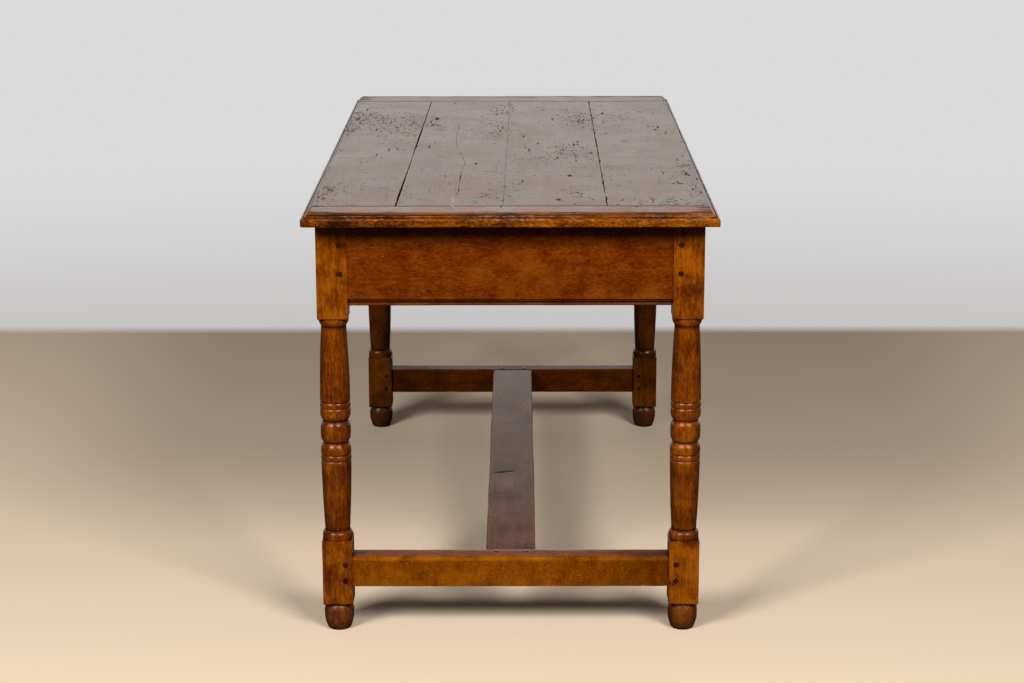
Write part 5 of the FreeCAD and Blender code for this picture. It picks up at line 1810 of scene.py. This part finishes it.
@dataclass
class PegGroup:
    """Riven pegs of one CAD node: whittled, so their heads are uneven polygons that stand a little proud.

    Attributes:
        name: The CAD node's name.
        heads: Middle of each head, on the surface that it stands out of.
        axis: Unit vector into the wood.
        length: How deep the pegs go.
        through: Whether they come out at the other side.
        radius: Their radius at the surface.
        joint: Width of the dark joint round a head.
        seed: Number that gives the group draws of its own.
    """

    name: str
    heads: tuple[tuple[float, float, float], ...]
    axis: tuple[float, float, float]
    length: float
    through: bool = False
    radius: float = 4.7
    joint: float = 0.7
    seed: int = 0

    def build(self, finish: Material) -> bpy.types.Object:
        """Makes the pegs of the group as one piece.

        Formula: rings of 28 points along the axis. A ring's radius is a polygon's, r cos(pi/n) over the
        cosine of the angle from the nearest side's middle. A dark ring lies at the surface.

        Args:
            finish: Their material.

        Returns:
            The piece.
        """
        pick = np.random.default_rng(40 + self.seed)
        forward = np.array(self.axis, float)
        aside = np.array([forward[1], forward[2], forward[0]])
        aside -= forward * aside.dot(forward)
        aside /= np.linalg.norm(aside)
        upward = np.cross(forward, aside)
        skins = []
        for head in self.heads:
            sides = int(pick.integers(4, 8))
            start = pick.uniform(0, 2 * math.pi)
            proud = pick.uniform(0.35, 0.8)
            angle = np.linspace(0, 2 * math.pi, 28, endpoint=False)
            sector = np.mod(angle - start, 2 * math.pi / sides) - math.pi / sides
            facet = math.cos(math.pi / sides) / np.cos(sector) * (1.0 + 0.05 * (6 - sides))
            tail = self.length + (0.5 if self.through else 0.0)
            stations = [
                (proud, 0.78, 0.0),
                (proud - 0.12, 0.93, 0.1),
                (0.18, 0.95, 0.9),
                (0.16, 1 + self.joint / self.radius, 1.0),
                (-3.0, 1.0, 0.5),
                (-tail, 0.9, 0.2),
            ]
            if self.through:
                stations.insert(-1, (-tail + 0.6, 1.0, 1.0))
            lift, size, dirt = (values[:, None] for values in np.array(stations).T)
            ring = self.radius * size * facet
            points = (
                np.array(head)
                - lift[..., None] * forward
                + (ring * np.cos(angle))[..., None] * aside
                + (ring * np.sin(angle))[..., None] * upward
            )
            skins.append(Skin(points, {"dirt_and_shade": dirt, "polish": 0.4 * (1 - dirt)}))
        return make_piece(self.name, skins, finish)


@dataclass
class Pegs:
    """All the pegs: through the apron tenons, the end stretchers' tenons and the medial stretcher's.

    Attributes:
        frame_half_width: X of the legs' side faces.
        frame_half_length: Y of their end faces.
        apron_heights: Heights of each joint's two pegs in the aprons.
        apron_across: X of the pegs in the end aprons.
        apron_along: Y of the pegs in the long aprons.
        apron_length: Length of the pegs in the aprons.
        stretcher_heights: Heights of each joint's two pegs in the end stretchers.
        stretcher_across: X of these.
        stretcher_length: Length of these.
        medial_head: X, Y and height of the heads on the medial stretcher.
        medial_length: Length of these.
    """

    frame_half_width: float = 331.5
    frame_half_length: float = 673.0
    apron_heights: tuple[float, float] = (698.0, 648.0)
    apron_across: float = 291.5
    apron_along: float = 633.0
    apron_length: float = 33.5
    stretcher_heights: tuple[float, float] = (94.0, 124.0)
    stretcher_across: float = 291.0
    stretcher_length: float = 53.0
    medial_head: tuple[float, float, float] = (26.0, 639.5, 137.85)
    medial_length: float = 40.65

    def build(self) -> None:
        """Makes the eight groups."""
        finish = PEG_WOOD.build()
        seed = 0
        for end, sign in (("front", -1), ("back", 1)):
            face = sign * self.frame_half_length
            inward = (0.0, -float(sign), 0.0)
            for kind, across, heights, length, through in (
                ("apron", self.apron_across, self.apron_heights, self.apron_length, False),
                ("stretcher", self.stretcher_across, self.stretcher_heights, self.stretcher_length, True),
            ):
                heads = tuple((side * across, face, height) for side in (-1, 1) for height in heights)
                PegGroup(f"pegs_{kind}_{end}", heads, inward, length, through, seed=seed).build(finish)
                seed += 1
            across, along, height = self.medial_head
            heads = tuple((side * across, sign * along, height) for side in (-1, 1))
            down = (0.0, 0.0, -1.0)
            PegGroup(f"pegs_medial_{end}", heads, down, self.medial_length, seed=seed).build(finish)
            seed += 1
        for side, sign in (("left", -1), ("right", 1)):
            face = sign * self.frame_half_width
            inward = (-float(sign), 0.0, 0.0)
            heads = tuple(
                (face, end * self.apron_along, height) for end in (-1, 1) for height in self.apron_heights
            )
            PegGroup(f"pegs_apron_{side}", heads, inward, self.apron_length, seed=seed).build(finish)
            seed += 1


# Studio


@dataclass
class Studio:
    """Camera, lamps, world and floor, in metres.

    A Crossing is where something starts and ends along one axis of a ray's direction, which goes from -1 to
    1, and the level before and after.

    Attributes:
        position: The camera's place.
        yaw: Its turn to the right in radians.
        pitch: Its turn down.
        roll: Its turn about its line of sight.
        lens: Its focal length in mm.
        backdrop: Colour behind the table.
        backdrop_low_shade: Darker colour that shows below it, painted shade low on the wall.
        backdrop_rise: Where, going up, the first takes over from the second.
        room_colour: Colour of the room in gloss.
        wall: How bright it is, going towards the wall beyond the far end.
        above_floor: How bright it is, going up past the horizon.
        low_wall: How bright it is, going up the wall.
        ambient_colour: Colour of the plain light on everything else.
        ambient: How bright that light is, going towards the wall.
        floor: Colour of the floor.
        floor_bounce: Share of it that rays other than the camera's see.
        floor_half: Half the floor's size, across and along.
        floor_centre: Y of its middle.
        floor_margin: How far its mesh goes on past its edges.
        floor_fade: How far to either side of an edge the floor fades out.
        lamps: Place, size and power of each lamp.
        lamp_aim: The place that they face.
        gloss_spread: Outer and inner angle in degrees of the dim patch that stands for a lamp in gloss.
        gloss_share: Brightness of that patch for each watt.
    """

    position: tuple[float, float, float] = (0.01441, -4.51065, 1.48868)
    yaw: float = -0.0030
    pitch: float = 0.2449
    roll: float = -0.0017
    lens: float = 81.01
    backdrop: str = "#DBDADB"
    backdrop_low_shade: str = "#C6C4C3"
    backdrop_rise: Crossing = ((-0.24, -0.165), (0.0, 1.0))
    room_colour: str = "#E0D8D2"
    wall: Crossing = ((0.35, 0.8), (0.08, 1.0))
    above_floor: Crossing = ((-0.03, 0.06), (0.12, 1.0))
    low_wall: Crossing = ((0.19, 0.27), (1.95, 0.58))
    ambient_colour: str = "#F4F1EC"
    ambient: Crossing = ((0.35, 0.85), (0.055, 0.36))
    floor: str = "#F1D9BE"
    floor_bounce: float = 0.10
    floor_half: tuple[float, float] = (3.2, 2.20)
    floor_centre: float = -0.62
    floor_margin: float = 0.4
    floor_fade: float = 0.04
    lamps: tuple[tuple[float, float, float, float, float], ...] = (
        (-2.35, -3.6, 2.95, 1.5, 158.0),
        (1.75, -3.6, 2.95, 1.5, 138.0),
    )
    lamp_aim: tuple[float, float, float] = (0.0, -0.5, 0.4)
    gloss_spread: tuple[float, float] = (17.0, 10.0)
    gloss_share: float = 0.075

    def build(self) -> None:
        """Sets up everything that isn't the table."""
        self.camera()
        self.world()
        self.light()
        self.ground()
        bpy.context.scene.view_settings.view_transform = "Standard"

    def camera(self) -> None:
        """Camera at the photograph's place: forward from yaw and pitch, then turned about it by the roll."""
        cos_pitch, sin_pitch = math.cos(self.pitch), math.sin(self.pitch)
        forward = np.array([math.sin(self.yaw) * cos_pitch, math.cos(self.yaw) * cos_pitch, -sin_pitch])
        right = np.array([math.cos(self.yaw), -math.sin(self.yaw), 0.0])
        up = np.cross(right, forward)
        turned_right = math.cos(self.roll) * right + math.sin(self.roll) * up
        turned_up = -math.sin(self.roll) * right + math.cos(self.roll) * up
        data = bpy.data.cameras.new("camera")
        data.lens = self.lens
        data.sensor_width = 36.0
        data.sensor_fit = "HORIZONTAL"
        camera = bpy.data.objects.new("camera", data)
        camera.matrix_world = standing((turned_right, turned_up, -forward), np.array(self.position))
        bpy.context.scene.collection.objects.link(camera)
        bpy.context.scene.camera = camera

    def world(self) -> None:
        """Pale backdrop for the camera with painted shade low on the wall, a room for what gloss reflects,
        and a plain light for the rest.

        The plain light comes mostly from the wall beyond the far end of the table. Gloss sees the wall only
        there too, and a dimmer room elsewhere, where two wide dim patches stand for the lamps.
        """
        world = bpy.data.worlds.new("studio")
        bpy.context.scene.world = world
        world.use_nodes = True
        tree = world.node_tree
        tree.nodes.clear()
        path = add_node(tree, "ShaderNodeLightPath")
        direction = add_node(tree, "ShaderNodeTexCoord").outputs["Generated"]
        axes = add_node(tree, "ShaderNodeSeparateXYZ", inputs={0: direction})
        along, up = axes.outputs["Y"], axes.outputs["Z"]
        levels = [
            (along, self.wall),
            (up, self.above_floor),
            (up, self.low_wall),
            (along, self.ambient),
            (up, self.backdrop_rise),
        ]
        spread = tuple(math.cos(math.radians(angle)) for angle in self.gloss_spread)
        for *place, _, power in self.lamps:
            toward = np.array(place) - self.lamp_aim
            toward = tuple(toward / np.linalg.norm(toward))
            near = add_node(
                tree, "ShaderNodeVectorMath", {"operation": "DOT_PRODUCT"}, {0: direction, 1: toward}
            )
            levels.append((near.outputs["Value"], (spread, (0.0, self.gloss_share * power))))
        soft_ends = {"clamp": True, "interpolation_type": "SMOOTHSTEP"}
        wall, above, low, plain_level, upper, *patches = (
            add_node(tree, "ShaderNodeMapRange", soft_ends, crossing(source, *parts)).outputs[0]
            for source, parts in levels
        )
        sheen = wall
        steps = [("MULTIPLY", above), ("MULTIPLY", low), *(("ADD", patch) for patch in patches)]
        for operation, other in steps:
            result = add_node(tree, "ShaderNodeMath", {"operation": operation}, {0: sheen, 1: other})
            sheen = result.outputs[0]
        # The backdrop, darker low on the wall as painted shade
        tint = add_node(
            tree,
            "ShaderNodeMix",
            {"data_type": "RGBA"},
            {SHARE: upper, UNDER: linear(self.backdrop_low_shade), OVER: linear(self.backdrop)},
        ).outputs[MIXED]
        plain, room, seen = (
            add_node(tree, "ShaderNodeBackground", inputs={"Color": colour, "Strength": strength}).outputs[0]
            for colour, strength in (
                (linear(self.ambient_colour), plain_level),
                (linear(self.room_colour), sheen),
                (tint, 1.0),
            )
        )
        through = add_node(
            tree,
            "ShaderNodeMath",
            {"operation": "MAXIMUM"},
            {0: path.outputs["Is Camera Ray"], 1: path.outputs["Is Transmission Ray"]},
        ).outputs[0]
        shown = plain
        for share, other in ((path.outputs["Is Glossy Ray"], room), (through, seen)):
            shown = add_node(tree, "ShaderNodeMixShader", inputs={0: share, 1: shown, 2: other}).outputs[0]
        add_node(tree, "ShaderNodeOutputWorld", inputs={"Surface": shown})

    def light(self) -> None:
        """Two large soft boxes in front of the table, high to the left and to the right, aimed at its front.

        Neither the camera nor gloss sees them.
        """
        for number, (*place, size, power) in enumerate(self.lamps):
            away = np.array(place) - self.lamp_aim
            away /= np.linalg.norm(away)
            side = np.cross([0.0, 0.0, 1.0], away)
            side /= np.linalg.norm(side)
            data = bpy.data.lights.new(f"soft_box_{number}", "AREA")
            data.shape = "SQUARE"
            data.size = size
            data.energy = power
            lamp = bpy.data.objects.new(f"soft_box_{number}", data)
            lamp.matrix_world = standing((side, np.cross(away, side), away), np.array(place))
            lamp.visible_camera = False
            lamp.visible_glossy = False
            bpy.context.scene.collection.objects.link(lamp)

    def ground(self) -> None:
        """Plain pale floor whose edges fade into the backdrop, dimmer for rays not from the camera."""
        half_x, half_y = self.floor_half
        mesh = bpy.data.meshes.new("floor")
        places = [
            (x * (half_x + self.floor_margin), y * (half_y + self.floor_margin) + self.floor_centre, 0.0)
            for x, y in ((-1, -1), (1, -1), (1, 1), (-1, 1))
        ]
        mesh.from_pydata(places, [], [(0, 1, 2, 3)])
        material, tree = new_material("pale_floor")
        place = add_node(tree, "ShaderNodeTexCoord").outputs["Object"]
        axes = add_node(tree, "ShaderNodeSeparateXYZ", inputs={0: place})
        keep = 1.0
        for axis, half, centre in (("X", half_x, 0.0), ("Y", half_y, self.floor_centre)):
            source = axes.outputs[axis]
            moved = add_node(tree, "ShaderNodeMath", {"operation": "SUBTRACT"}, {0: source, 1: centre})
            size = add_node(tree, "ShaderNodeMath", {"operation": "ABSOLUTE"}, {0: moved.outputs[0]})
            span = (half - self.floor_fade, half + self.floor_fade)
            fading = crossing(size.outputs[0], span, (1.0, 0.0))
            inside = add_node(tree, "ShaderNodeMapRange", {"clamp": True}, fading).outputs[0]
            result = add_node(tree, "ShaderNodeMath", {"operation": "MULTIPLY"}, {0: inside, 1: keep})
            keep = result.outputs[0]
        path = add_node(tree, "ShaderNodeLightPath")
        dimmed = tuple(self.floor_bounce * value for value in linear(self.floor)[:3]) + (1.0,)
        tint = add_node(
            tree,
            "ShaderNodeMix",
            {"data_type": "RGBA"},
            {SHARE: path.outputs["Is Camera Ray"], UNDER: dimmed, OVER: linear(self.floor)},
        ).outputs[MIXED]
        matt = add_node(tree, "ShaderNodeBsdfDiffuse", inputs={"Color": tint}).outputs[0]
        clear = add_node(tree, "ShaderNodeBsdfTransparent").outputs[0]
        shown = add_node(tree, "ShaderNodeMixShader", inputs={0: keep, 1: clear, 2: matt}).outputs[0]
        add_node(tree, "ShaderNodeOutputMaterial", inputs={"Surface": shown})
        mesh.materials.append(material)
        floor = bpy.data.objects.new("floor", mesh)
        bpy.context.scene.collection.objects.link(floor)


def finish_nodes(nodes: dict[str, bpy.types.Object]) -> None:
    """Gives the CAD nodes that stay as they are, the buttons and their screws, their materials.

    Args:
        nodes: The CAD nodes by name.
    """
    wood = BUTTON_WOOD.build()
    steel = DullSteel().build()
    for name, node in nodes.items():
        if not name.startswith(("top_buttons", "button_screws")):
            continue
        finish = steel if name == "button_screws" else wood
        node.data.materials.clear()
        node.data.materials.append(finish)
        LOG.info("%s keeps its CAD shape", name)


def main() -> None:
    """Loads the frame and builds the table round it."""
    logging.basicConfig(level=logging.INFO, format="%(name)s: %(message)s")
    for thing in list(bpy.data.objects):
        bpy.data.objects.remove(thing)
    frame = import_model()
    Frame().build()
    Top().build()
    Pegs().build()
    finish_nodes(frame["nodes"])
    Studio().build()


if __name__ == "__main__":
    main()
